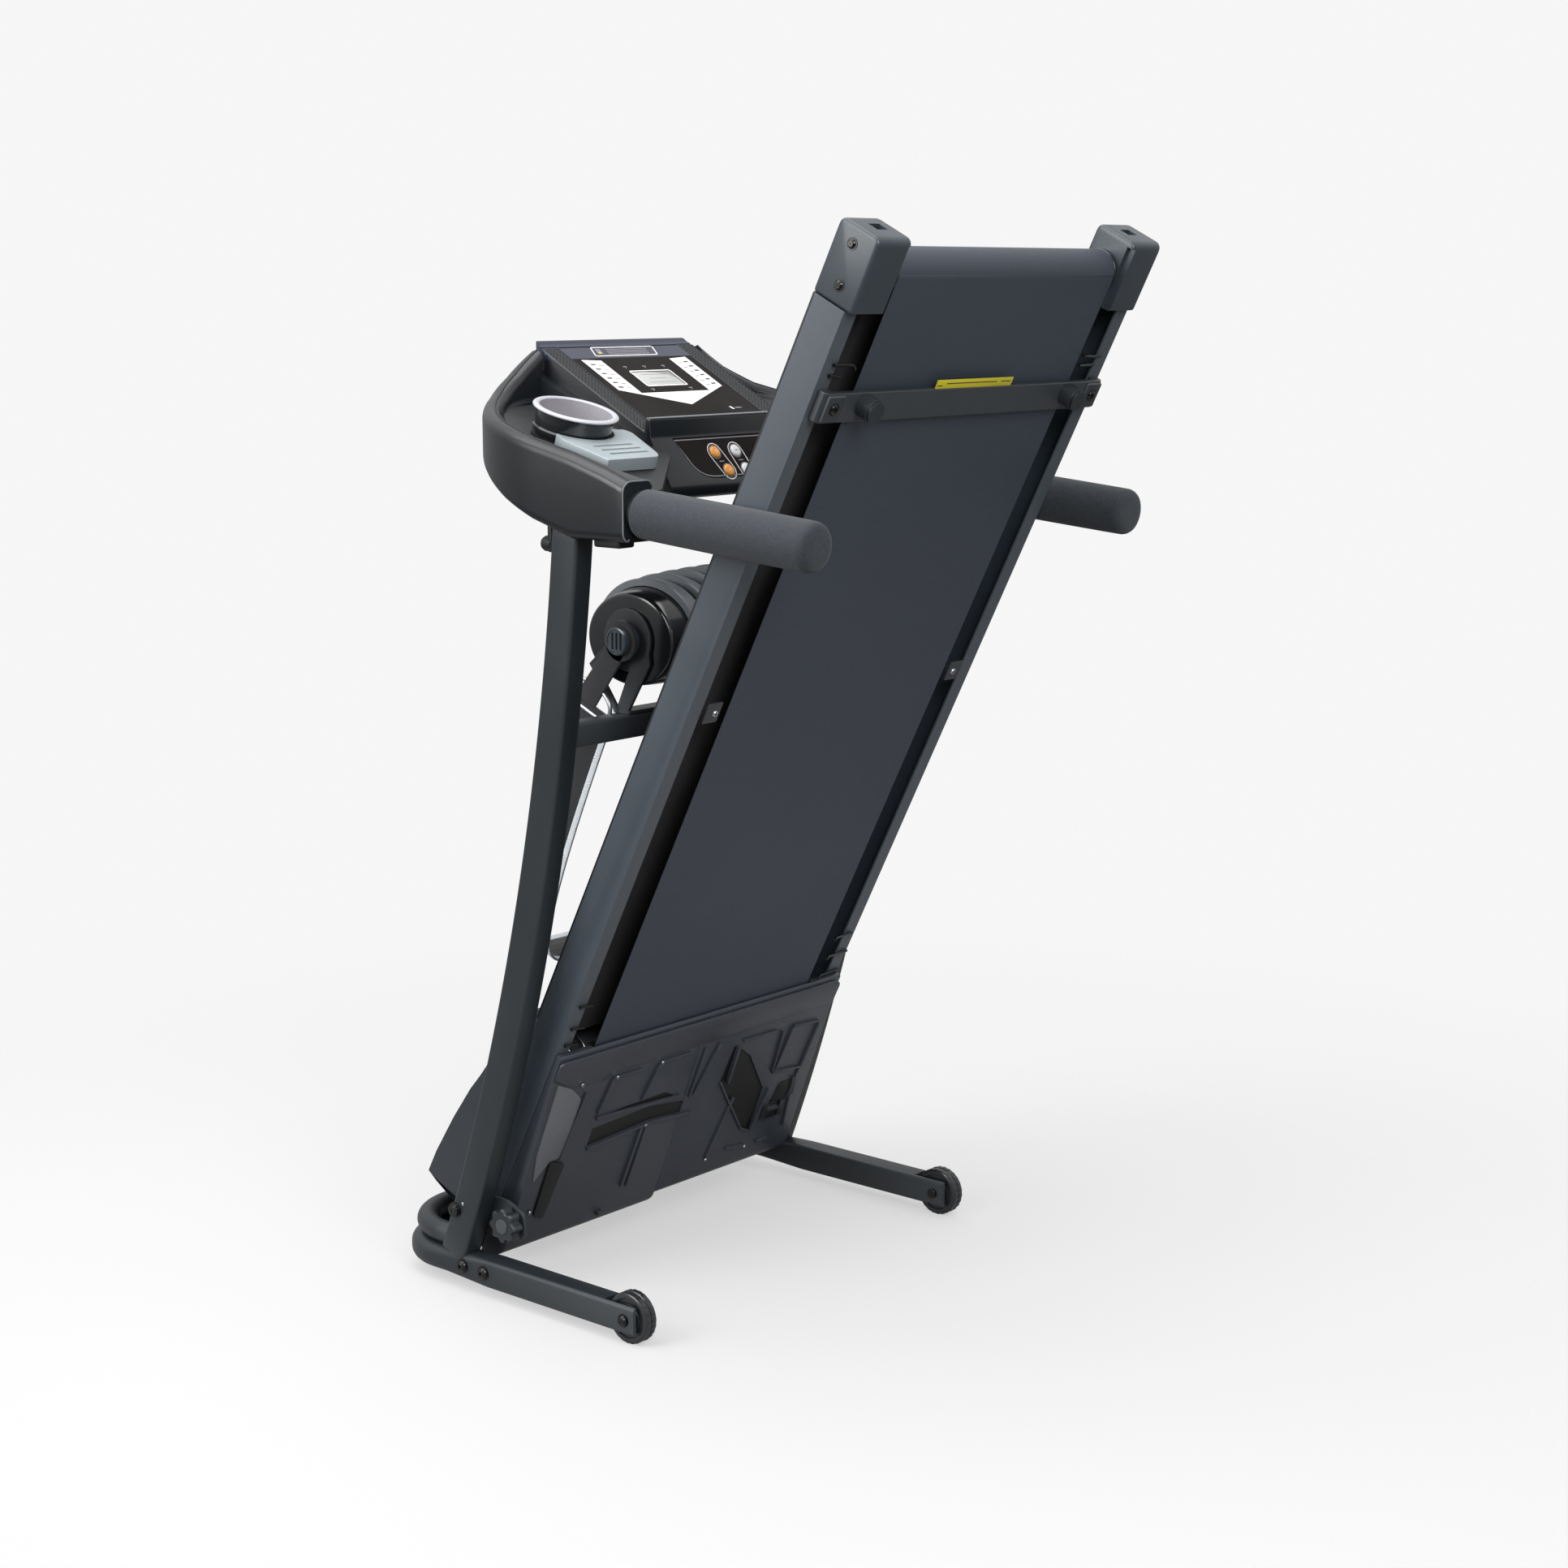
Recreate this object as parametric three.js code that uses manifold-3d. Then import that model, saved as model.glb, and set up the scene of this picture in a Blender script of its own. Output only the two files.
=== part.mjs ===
// Folding motorised home treadmill with a belt massager, standing folded.
// Millimetres, +Z up, +Y is the way the runner faces, +X is the runner's right.
// The origin is the middle of the footprint, on the floor.

import * as THREE from 'three';
import { mergeVertices } from 'three/addons/utils/BufferGeometryUtils.js';
import Module from 'manifold-3d';

const wasm = await Module();
wasm.setup();

// ---- driving dimensions ----------------------------------------------------

const GAP = 0.3;                  // air between pieces that touch
const WALL = 2.5;                 // steel tube wall
const SHELL = 3;                  // plastic shell wall

const BASE_HALF = 312;            // outer face of the base, from the middle
const SLEEVE = { w: 32, bottom: 14, top: 48, rear: 183, front: 372, corner: 80 };
const FOOT = { w: 28, h: 30, front: 226, rear: -55, slot: -5 };
const WHEEL = { r: 31, w: 19, y: -39, bore: 4.4 };
const LOOP = { r: 13.5, z: 62, corner: 80, y: 357.6 };

const UPRIGHT = { w: 30, depth: 40, y: 249, z: 48, leanLow: 21.5, leanHigh: 4.7, top: 950 };
const CROSSBAR = { size: 28, z: 703 };

const PIVOT = { y: 242, z: 102, r: 6 };
const FOLD_DEG = 63.4;            // from lying flat to standing folded
const RAIL = { half: 264.6, h: 44, flange: 22, t: 2.6, front: 35, rear: -1221.7 };
const CAP = { inner: 207, outer: 264, rear: -1308, front: -1222, bottom: -31, top: 27 };
const ROLLER = { r: 23.2, front: -215, rear: -1259, shaft: 8 };
const BELT = { half: 200, t: 1.4 };
const HOOD_HALF = 252;
const PAN_HALF = 264;

const GRIP = { x: 294.4, r: 28, front: -63.6, rear: -316, zFront: 965.5, slope: 5.24, bore: 12.8 };
const ARM = { outer: 325, y: 81, radius: 182 };
const TRAY = { slope: 16.2, y: 94, z: 1035, thick: 26 };
const CUP = { x: 235, y: 103, rise: 31, r: 45, rim: 50, depth: 76 };
const HEAD = { half: 136, tilt: 29 };
const KEY = { r: 8, stroke: 1.5 };

const MASSAGER = { y: 59, z: 805, half: 186, ry: 76, rz: 60, crown: 8 };

// ---- colours -----------------------------------------------------------------

const paint = (color, roughness, metalness) =>
  new THREE.MeshStandardMaterial({ color, roughness, metalness });
const BLACK_STEEL = paint(0x26292c, 0.5, 0.4);
const BLACK_PLASTIC = paint(0x1c1e20, 0.6, 0);
const SHELL_PLASTIC = paint(0x24282a, 0.55, 0);
const BLUE_PLASTIC = paint(0x1e2638, 0.45, 0);
const FOAM = paint(0x3a3b3d, 0.95, 0);
const RUBBER = paint(0x17181a, 0.9, 0);
const BELT_RUBBER = paint(0x2b2e33, 0.8, 0);
const BRIGHT_STEEL = paint(0xa9adb0, 0.3, 0.9);
const SILVER_PLASTIC = paint(0xa9b4b6, 0.4, 0.2);
const OVERLAY = paint(0x1a0d0b, 0.3, 0);
const LCD = paint(0x9a9c9a, 0.2, 0);
const ORANGE = paint(0xe08a1a, 0.4, 0);
const WHITE = paint(0xdfe2e2, 0.4, 0);
const BOARD = paint(0x4a3b2c, 0.8, 0);
const WEBBING = paint(0x202225, 0.9, 0);

// ---- shape helpers -------------------------------------------------------------

const rad = THREE.MathUtils.degToRad;

function solidOf(geometry) {
  const plain = geometry.clone();
  plain.deleteAttribute('normal');
  plain.deleteAttribute('uv');
  const merged = mergeVertices(plain, 1e-4);
  const vertProperties = new Float32Array(merged.attributes.position.array);
  const triVerts = new Uint32Array(merged.index.array);
  return new wasm.Manifold(new wasm.Mesh({ numProp: 3, vertProperties, triVerts }));
}

function geometryOf(solid) {
  const mesh = solid.getMesh();
  const geometry = new THREE.BufferGeometry();
  geometry.setAttribute('position', new THREE.BufferAttribute(mesh.vertProperties, 3));
  geometry.setIndex(new THREE.BufferAttribute(mesh.triVerts, 1));
  return geometry;
}

const cut = (body, ...tools) =>
  geometryOf(tools.reduce((rest, tool) => rest.subtract(solidOf(tool)), solidOf(body)));
const join = (body, ...more) =>
  geometryOf(more.reduce((sum, next) => sum.add(solidOf(next)), solidOf(body)));

const box = (x0, x1, y0, y1, z0, z1) =>
  new THREE.BoxGeometry(Math.abs(x1 - x0), Math.abs(y1 - y0), Math.abs(z1 - z0))
    .translate((x0 + x1) / 2, (y0 + y1) / 2, (z0 + z1) / 2);

// a round bar along X
function bar(x0, x1, y, z, r, sides = 24) {
  return new THREE.CylinderGeometry(r, r, Math.abs(x1 - x0), sides)
    .rotateZ(Math.PI / 2).translate((x0 + x1) / 2, y, z);
}

// a round bar along Z
function post(x, y, z0, z1, r, sides = 24) {
  return new THREE.CylinderGeometry(r, r, z1 - z0, sides)
    .rotateX(Math.PI / 2).translate(x, y, (z0 + z1) / 2);
}

const outline = (points) => new THREE.Shape(points.map(([a, b]) => new THREE.Vector2(a, b)));

// an outline in Y and Z, pushed along X from x0 to x1
function prism(shape, x0, x1, curveSegments = 8) {
  const turn = new THREE.Matrix4().makeBasis(
    new THREE.Vector3(0, 1, 0), new THREE.Vector3(0, 0, 1), new THREE.Vector3(1, 0, 0));
  return new THREE.ExtrudeGeometry(shape, { depth: x1 - x0, bevelEnabled: false, curveSegments })
    .applyMatrix4(turn).translate(x0, 0, 0);
}

// an outline in X and Y, pushed up from z0 to z1
function slab(shape, z0, z1, curveSegments = 8) {
  return new THREE.ExtrudeGeometry(shape, { depth: z1 - z0, bevelEnabled: false, curveSegments })
    .translate(0, 0, z0);
}

// a box section, with a bore when wall is above 0
function boxSection(w, h, wall) {
  const at = (a, b) => [[-a, -b], [a, -b], [a, b], [-a, b]];
  const shape = outline(at(w / 2, h / 2));
  if (wall > 0) shape.holes.push(outline(at(w / 2 - wall, h / 2 - wall).reverse()));
  return shape;
}

// the same indexed surface with its faces outward
function facingOut(geometry) {
  const { position } = geometry.attributes;
  const index = [...geometry.index.array];
  const corner = (k) => new THREE.Vector3().fromBufferAttribute(position, index[k]);
  let volume = 0;
  for (let k = 0; k < index.length; k += 3) {
    volume += corner(k).dot(corner(k + 1).cross(corner(k + 2)));
  }
  if (volume < 0) geometry.setIndex(index.reverse());
  return geometry;
}

// a closed profile of radius and height, turned round Z
function turned(profile, sides) {
  const points = profile.map(([a, b]) => new THREE.Vector2(a, b));
  return facingOut(new THREE.LatheGeometry(points, sides).rotateX(Math.PI / 2));
}

// a skin over a row of rings with the same number of points, closed at both ends
function loft(rings) {
  const n = rings[0].length;
  const vertices = rings.flat();
  const index = [];
  for (let i = 0; i + 1 < rings.length; i += 1) {
    for (let j = 0; j < n; j += 1) {
      const a = i * n + j;
      const b = i * n + (j + 1) % n;
      index.push(a, b, b + n, a, b + n, a + n);
    }
  }
  for (let j = 1; j + 1 < n; j += 1) {
    const last = (rings.length - 1) * n;
    index.push(0, j + 1, j, last, last + j, last + j + 1);
  }
  const geometry = new THREE.BufferGeometry();
  geometry.setAttribute('position', new THREE.Float32BufferAttribute(vertices.flat(), 3));
  geometry.setIndex(index);
  return facingOut(geometry);
}

// the same geometry on the other side of the middle plane
function mirrored(geometry) {
  const copy = geometry.clone();
  copy.deleteAttribute('normal');
  copy.deleteAttribute('uv');
  const solid = solidOf(copy);
  return geometryOf(solid.mirror([1, 0, 0]));
}

const treadmill = new THREE.Group();
const deck = new THREE.Group();
deck.position.set(0, PIVOT.y, PIVOT.z);
deck.rotation.x = -rad(FOLD_DEG);
treadmill.add(deck);

function piece(parent, name, geometry, material) {
  const mesh = new THREE.Mesh(geometry, material);
  mesh.name = name;
  parent.add(mesh);
  return mesh;
}

// geometry is the runner's right-hand one; both sides are added
function pair(parent, name, geometry, material) {
  piece(parent, `right_${name}`, geometry, material);
  piece(parent, `left_${name}`, mirrored(geometry), material);
}

// ---- base ------------------------------------------------------------------------

function baseU(inset, rearExtra) {
  const out = BASE_HALF - inset;
  const inn = BASE_HALF - SLEEVE.w + inset;
  const front = SLEEVE.front - inset;
  const cornerY = SLEEVE.front - SLEEVE.corner;
  const cornerX = BASE_HALF - SLEEVE.corner;
  const rOut = SLEEVE.corner - inset;
  const rIn = SLEEVE.corner - SLEEVE.w + inset;
  const rear = SLEEVE.rear - rearExtra;
  const shape = new THREE.Shape();
  shape.moveTo(out, rear);
  shape.lineTo(out, cornerY);
  shape.absarc(cornerX, cornerY, rOut, 0, Math.PI / 2, false);
  shape.lineTo(-cornerX, front);
  shape.absarc(-cornerX, cornerY, rOut, Math.PI / 2, Math.PI, false);
  shape.lineTo(-out, rear);
  shape.lineTo(-inn, rear);
  shape.absarc(-cornerX, cornerY, rIn, Math.PI, Math.PI / 2, true);
  shape.absarc(cornerX, cornerY, rIn, Math.PI / 2, 0, true);
  shape.lineTo(inn, rear);
  return shape;
}

const SLEEVE_WALL = 1.7;
const baseTube = cut(
  slab(baseU(0, 0), SLEEVE.bottom, SLEEVE.top),
  slab(baseU(SLEEVE_WALL, 5), SLEEVE.bottom + SLEEVE_WALL, SLEEVE.top - SLEEVE_WALL));
piece(treadmill, 'base_front_tube', baseTube, BLACK_STEEL);

const footX = BASE_HALF - SLEEVE.w / 2;
const footZ = (SLEEVE.bottom + SLEEVE.top) / 2;

function footTube() {
  const length = FOOT.front - FOOT.rear;
  const inner = FOOT.w / 2 - WALL;
  const tube = new THREE.ExtrudeGeometry(boxSection(FOOT.w, FOOT.h, WALL),
    { depth: length, bevelEnabled: false })
    .rotateX(Math.PI / 2).translate(footX, FOOT.front, footZ);
  return cut(tube,
    box(footX - inner, footX + inner, FOOT.rear - 5, FOOT.slot, 0, 2 * footZ),
    bar(footX - FOOT.w, footX + FOOT.w, WHEEL.y, WHEEL.r, WHEEL.bore));
}

function wheelAxle() {
  const out = footX + FOOT.w / 2 + GAP;
  const inn = footX - FOOT.w / 2 - GAP;
  return join(bar(inn - 1, out + 1, WHEEL.y, WHEEL.r, 4, 16),
    bar(out, out + 4.5, WHEEL.y, WHEEL.r, 7, 16),
    bar(inn - 5.5, inn, WHEEL.y, WHEEL.r, 7, 6));
}

function transportWheel() {
  const { r, w, bore } = WHEEL;
  const half = w / 2;
  const profile = [[bore, -half], [9, -half], [9, -half + 2], [r - 7, -half + 2],
    [r - 5, -half], [r - 1, -half + 1], [r, -half + 3], [r, -1.5], [r - 2, -0.5],
    [r - 2, 0.5], [r, 1.5], [r, half - 3], [r - 1, half - 1], [r - 5, half],
    [r - 7, half - 2], [9, half - 2], [9, half], [bore, half], [bore, -half]];
  return turned(profile, 28).rotateY(Math.PI / 2).translate(footX, WHEEL.y, WHEEL.r);
}

pair(treadmill, 'foot_tube', footTube(), BLACK_STEEL);
pair(treadmill, 'wheel_axle', wheelAxle(), BRIGHT_STEEL);
pair(treadmill, 'transport_wheel', transportWheel(), RUBBER);
pair(treadmill, 'front_pad',
  join(post(180, 348, 0, SLEEVE.bottom - GAP, 19, 20), post(180, 348, 0, 4, 22, 20)), RUBBER);

// ---- uprights ------------------------------------------------------------------------

const uprightRadius = (UPRIGHT.top - UPRIGHT.z)
  / (Math.sin(rad(UPRIGHT.leanLow)) - Math.sin(rad(UPRIGHT.leanHigh)));

// the middle of an upright at height z, with its lean there
function uprightAt(z) {
  const sinLow = Math.sin(rad(UPRIGHT.leanLow));
  const lean = Math.asin(sinLow - (z - UPRIGHT.z) / uprightRadius);
  const y = UPRIGHT.y + uprightRadius * (Math.cos(rad(UPRIGHT.leanLow)) - Math.cos(lean));
  return { y, lean };
}

class UprightCurve extends THREE.Curve {
  constructor(x, z0, z1) {
    super();
    Object.assign(this, { x, z0, z1 });
  }

  getPoint(t, target = new THREE.Vector3()) {
    const z = this.z0 + t * (this.z1 - this.z0);
    return target.set(this.x, uprightAt(z).y, z);
  }
}

const uprightX = BASE_HALF - UPRIGHT.w / 2;

function uprightBar(z0, z1, w, depth, wall, steps) {
  return new THREE.ExtrudeGeometry(boxSection(w, depth, wall),
    { steps, bevelEnabled: false, extrudePath: new UprightCurve(uprightX, z0, z1) });
}

// both sides stand on the sleeve, so their lower ends are cut level
const underFoot = box(200, 400, 0, 400, -50, UPRIGHT.z + GAP);
const pivotBore = bar(200, 400, PIVOT.y, PIVOT.z, PIVOT.r + GAP);
const rightUpright = cut(
  uprightBar(20, UPRIGHT.top, UPRIGHT.w, UPRIGHT.depth, WALL, 24), underFoot, pivotBore);

const LOCK = { y: 173, z: 93, plate: 4, boss: 5.3 };

// the left upright carries the welded plate of the fold lock
function leftUpright() {
  const inner = BASE_HALF - UPRIGHT.w;
  const plate = prism(outline([[150, 72], [222, 62], [212, 125], [176, 128], [152, 112]]),
    inner - LOCK.plate + 0.5, inner + 0.5);
  const tube = uprightBar(20, UPRIGHT.top, UPRIGHT.w, UPRIGHT.depth, WALL, 24);
  const bore = bar(200, 400, LOCK.y, LOCK.z, LOCK.boss);
  return mirrored(cut(join(tube, plate), underFoot, pivotBore, bore));
}

piece(treadmill, 'right_upright', rightUpright, BLACK_STEEL);
piece(treadmill, 'left_upright', leftUpright(), BLACK_STEEL);

const crossbarY = uprightAt(CROSSBAR.z).y;
const crossbarHalf = BASE_HALF - UPRIGHT.w - GAP;
piece(treadmill, 'upright_crossbar',
  prism(boxSection(CROSSBAR.size, CROSSBAR.size, WALL), -crossbarHalf, crossbarHalf)
    .translate(0, crossbarY, CROSSBAR.z), BLACK_STEEL);

// bolts that the deck turns on, from the upright into the rail
pair(treadmill, 'pivot_bolt', join(
  bar(RAIL.half - 14, BASE_HALF + GAP + 1, PIVOT.y, PIVOT.z, PIVOT.r),
  bar(BASE_HALF + GAP, BASE_HALF + 5, PIVOT.y, PIVOT.z, 8, 20),
  bar(RAIL.half + 2, BASE_HALF - UPRIGHT.w - 2, PIVOT.y, PIVOT.z, 11, 20)), BRIGHT_STEEL);

// round tube bumper that bends round the front, above the base tube
function frontLoop() {
  const x = uprightX;
  const start = uprightAt(LOOP.z).y;
  const cornerY = LOOP.y - LOOP.corner;
  const path = new THREE.CurvePath();
  const corner = (side) => new THREE.Vector3(side * (x - LOOP.corner), cornerY, LOOP.z);
  const arc = (side) => {
    const points = [];
    for (let k = 0; k <= 10; k += 1) {
      const a = (k / 10) * Math.PI / 2;
      points.push(corner(side).add(new THREE.Vector3(
        side * LOOP.corner * Math.cos(a), LOOP.corner * Math.sin(a), 0)));
    }
    return points;
  };
  const route = [new THREE.Vector3(x, start, LOOP.z), ...arc(1),
    ...arc(-1).reverse(), new THREE.Vector3(-x, start, LOOP.z)];
  for (let k = 0; k + 1 < route.length; k += 1) path.add(new THREE.LineCurve3(route[k], route[k + 1]));
  const ring = (r) => new THREE.Shape().absarc(0, 0, r, 0, 2 * Math.PI, false);
  const section = ring(LOOP.r);
  section.holes.push(new THREE.Path().absarc(0, 0, LOOP.r - 2, 0, 2 * Math.PI, true));
  const tube = new THREE.ExtrudeGeometry(section,
    { steps: 23, bevelEnabled: false, curveSegments: 6, extrudePath: path });
  const clear = uprightBar(-20, 200, UPRIGHT.w + 4, UPRIGHT.depth + 2 * GAP, 0, 6);
  return cut(tube, clear, mirrored(clear));
}

piece(treadmill, 'front_loop_tube', frontLoop(), BLACK_STEEL);

// ---- console ---------------------------------------------------------------------------

const traySlope = Math.tan(rad(TRAY.slope));
const trayZ = (y) => TRAY.z + (y - TRAY.y) * traySlope;

// stations of the arm from the grip to the front: outer plan point, lower and upper edge,
// and the widths above and below the ledge that the tray meets
function armStations() {
  const stations = [
    { x: ARM.outer, y: -63, low: 934, high: 1001, top: 50, foot: 60 },
    { x: ARM.outer, y: -30, low: 934, high: 1013, top: 34, foot: 60 },
    { x: ARM.outer, y: 20, low: 934, high: 1028, top: 27, foot: 58 },
    { x: ARM.outer, y: ARM.y, low: 952, high: 1042, top: 25, foot: 46 },
  ];
  const lows = [970, 990, 1009, 1024, 1034, 1040];
  const highs = [1053, 1063, 1073, 1086, 1107, 1135];
  lows.forEach((low, k) => {
    const a = rad(15 * (k + 1));
    stations.push({
      x: ARM.outer - ARM.radius + ARM.radius * Math.cos(a),
      y: ARM.y + ARM.radius * Math.sin(a),
      a, low, high: highs[k], top: 25, foot: 30,
    });
  });
  return stations;
}

function armBand() {
  const edge = 7;
  const rings = armStations().map(({ x, y, low, high, top, foot, a = 0 }) => {
    const at = (d, z) => [x - d * Math.cos(a), y - d * Math.sin(a), z];
    const ledge = Math.max(Math.min(trayZ(y) - 8, high - 12), low + 12);
    return [at(edge, low), at(0, low + edge), at(0, high - edge - 3), at(2, high - edge + 2),
      at(edge + 2, high), at(top - edge, high), at(top, high - edge), at(top, ledge + 2),
      at(foot, ledge), at(foot, low + edge), at(foot - edge, low)];
  });
  return loft(rings);
}

const gripAxis = new THREE.Vector3(0, -Math.cos(rad(GRIP.slope)), -Math.sin(rad(GRIP.slope)));
const gripStart = new THREE.Vector3(GRIP.x, GRIP.front, GRIP.zFront);

// turns geometry made round Z at the origin to run back along the grip from its front end
function alongGrip(geometry, offset) {
  const turn = new THREE.Quaternion().setFromUnitVectors(new THREE.Vector3(0, 0, 1), gripAxis);
  const at = gripStart.clone().addScaledVector(gripAxis, offset);
  return geometry.applyMatrix4(new THREE.Matrix4().compose(at, turn, new THREE.Vector3(1, 1, 1)));
}

const tube = (r, length) => new THREE.CylinderGeometry(r, r, length, 24).rotateX(Math.PI / 2)
  .translate(0, 0, length / 2);

// a frame on the tray: X across, Y up the slope, Z off its face
function onTray(geometry, x, y, lift = 0) {
  const n = new THREE.Vector3(0, -Math.sin(rad(TRAY.slope)), Math.cos(rad(TRAY.slope)));
  const at = new THREE.Vector3(x, y, trayZ(y)).addScaledVector(n, lift);
  const turn = new THREE.Matrix4().makeRotationX(rad(TRAY.slope)).setPosition(at);
  return geometry.applyMatrix4(turn);
}

function armShell() {
  const shape = outline([[HEAD.half + GAP, -60], [262, -165], [300, -165], [306, 0],
    [290, 60], [262, 100], [215, 128], [HEAD.half + GAP, 140]]);
  const floor = onTray(slab(shape, -TRAY.thick, 0), 0, TRAY.y);
  const hollow = onTray(slab(outline([[HEAD.half + 4, -56], [256, -150], [256, 90],
    [210, 122], [HEAD.half + 4, 134]]), -TRAY.thick - 5, -4), 0, TRAY.y);
  const cupHole = onTray(post(0, 0, -60, 60, CUP.r + 0.6, 32), CUP.x, CUP.y);
  const top = uprightBar(800, UPRIGHT.top + 3, UPRIGHT.w + 1, UPRIGHT.depth + 1, 0, 4);
  const socket = alongGrip(tube(GRIP.bore, 66), -62);
  const shoulder = prism(outline([[84, 1018], [84, 1032], [250, 1109], [264, 1109], [264, 1060]]),
    HEAD.half + GAP, 152);
  const clampKnob = join(box(289, 305, 66, 73, 915, 962),
    post(0, 0, 66, 84, 9, 20).rotateX(-Math.PI / 2).translate(uprightX, 0, 924),
    box(284, 310, -44, -4, 926, 938));
  return cut(join(cut(floor, hollow), armBand(), shoulder, clampKnob), cupHole, top, socket);
}

pair(treadmill, 'arm_shell', armShell(), SHELL_PLASTIC);

function cupHolder() {
  const { r, rim, depth } = CUP;
  const profile = [[0, -depth], [r - 6, -depth], [r, -depth + 6], [r, -3], [rim, -3],
    [rim, -0.8], [rim - 1.5, 0.6], [r - 1, 0.6], [r - 2.5, -1], [r - 2.5, -depth + 8],
    [r - 8, -depth + 2.5], [0, -depth + 2.5]];
  return onTray(turned(profile, 30), CUP.x, CUP.y, CUP.rise);
}

pair(treadmill, 'cup_holder', cupHolder(), SILVER_PLASTIC);

// grooved pad on the tray behind the cup, hollowed to pass round it
function handPad() {
  const shape = new THREE.Shape();
  shape.moveTo(290, -8);
  shape.lineTo(206, -8);
  shape.lineTo(197, 2);
  shape.lineTo(167, 74);
  shape.lineTo(172, 88);
  shape.absarc(CUP.x, CUP.y, CUP.r + 3, rad(194), rad(338), false);
  shape.lineTo(290, 62);
  const groove = (y) => box(204, 268, y - 1.3, y + 1.3, 12, 18);
  return onTray(cut(slab(shape, 0, 14).translate(0, -TRAY.y, 0),
    ...[8, 20, 32].map((y) => groove(y - TRAY.y))), 0, TRAY.y, GAP);
}

pair(treadmill, 'hand_pad', handPad(), SILVER_PLASTIC);

pair(treadmill, 'handle_tube', alongGrip(tube(GRIP.bore - GAP, 286), -58), BLACK_STEEL);

function foamGrip() {
  const length = (GRIP.front - GRIP.rear) / Math.cos(rad(GRIP.slope));
  const { r, bore } = GRIP;
  const profile = [[0, length], [r - 8, length], [r - 2.5, length - 2.5], [r, length - 8],
    [r, 7], [r - 3, 4.6], [bore, 4.6], [bore, length - 16], [0, length - 16]];
  return alongGrip(turned(profile, 32), 0);
}

pair(treadmill, 'foam_grip', foamGrip(), FOAM);

// console head: the sloping display face, the book ledge and the steep key face under it
const FACE = { y: 256, z: 1140, length: 201 };
const KEYFACE = { y: 71, z: 1036, slope: 59.3, length: 68 };
const faceDir = new THREE.Vector2(-Math.cos(rad(HEAD.tilt)), -Math.sin(rad(HEAD.tilt)));
const keyDir = new THREE.Vector2(-Math.cos(rad(KEYFACE.slope)), -Math.sin(rad(KEYFACE.slope)));

// a frame on a sloping face: X across, Y down the slope from its upper edge, Z off the face
function onFace(geometry, { y, z }, slope) {
  const basis = new THREE.Matrix4().makeBasis(
    new THREE.Vector3(-1, 0, 0),
    new THREE.Vector3(0, -Math.cos(slope), -Math.sin(slope)),
    new THREE.Vector3(0, -Math.sin(slope), Math.cos(slope)));
  return geometry.applyMatrix4(basis.setPosition(0, y, z));
}
const onDisplay = (geometry) => onFace(geometry, FACE, rad(HEAD.tilt));
const onKeys = (geometry) => onFace(geometry, KEYFACE, rad(KEYFACE.slope));

const PLATE = 2;                  // thickness of the overlays let into the head

function headOutline(inset) {
  const faceEnd = [FACE.y + faceDir.x * FACE.length, FACE.z + faceDir.y * FACE.length];
  const keyEnd = [KEYFACE.y + keyDir.x * KEYFACE.length, KEYFACE.z + keyDir.y * KEYFACE.length];
  if (inset === 0) {
    return outline([[282, 1042], [279, 1120], [274, 1140], [262, 1146], [FACE.y, FACE.z],
      faceEnd, [faceEnd[0] - 2, 1058], [faceEnd[0] - 9, 1057], [KEYFACE.y - 1, KEYFACE.z],
      keyEnd, [keyEnd[0] + 3, keyEnd[1] - 10], [60, 962], [120, 975], [260, 1036]]);
  }
  return outline([[279, 1036], [276, 1119], [270, 1139], [260, 1142], [FACE.y, FACE.z - 7],
    [faceEnd[0] + 6, faceEnd[1] - 4], [KEYFACE.y + 8, KEYFACE.z - 4],
    [keyEnd[0] + 9, keyEnd[1] + 2], [keyEnd[0] + 8, 950], [60, 940], [120, 950], [270, 1020]]);
}

const keySpots = [
  { name: 'speed_up_key', x: 36, y: 24, material: ORANGE },
  { name: 'speed_down_key', x: 25, y: 49, material: ORANGE },
  { name: 'start_key', x: -1, y: 24, material: WHITE },
  { name: 'stop_key', x: -7, y: 49, material: WHITE },
];
const SAFETY = { x: -60, y: 22, r: 11 };

function consoleHead() {
  const shell = cut(prism(headOutline(0), -HEAD.half, HEAD.half),
    prism(headOutline(SHELL), -HEAD.half + SHELL, HEAD.half - SHELL));
  const displayRecess = onDisplay(box(-106, 106, 8, 194, -PLATE, 10));
  const keyRecess = onKeys(slab(keyPanelOutline(GAP), -PLATE, 10));
  const wells = keySpots.map(({ x, y }) => onKeys(post(x, y, -20, 10, KEY.r + 0.5)));
  const keyWell = onKeys(post(SAFETY.x, SAFETY.y, -20, 10, SAFETY.r + 0.5));
  return cut(shell, displayRecess, keyRecess, keyWell, ...wells);
}

function keyPanelOutline(grow) {
  const [half, low, foot] = [100 + grow, 58 + grow, 62];
  const shape = new THREE.Shape();
  shape.moveTo(-half, 3 - grow);
  shape.lineTo(half, 3 - grow);
  shape.lineTo(half - 10, 30);
  shape.quadraticCurveTo(foot + 18, low, foot - 12, low);
  shape.lineTo(-foot + 12, low);
  shape.quadraticCurveTo(-foot - 18, low, -half + 10, 30);
  return shape;
}

piece(treadmill, 'console_head', consoleHead(), BLUE_PLASTIC);

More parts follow.
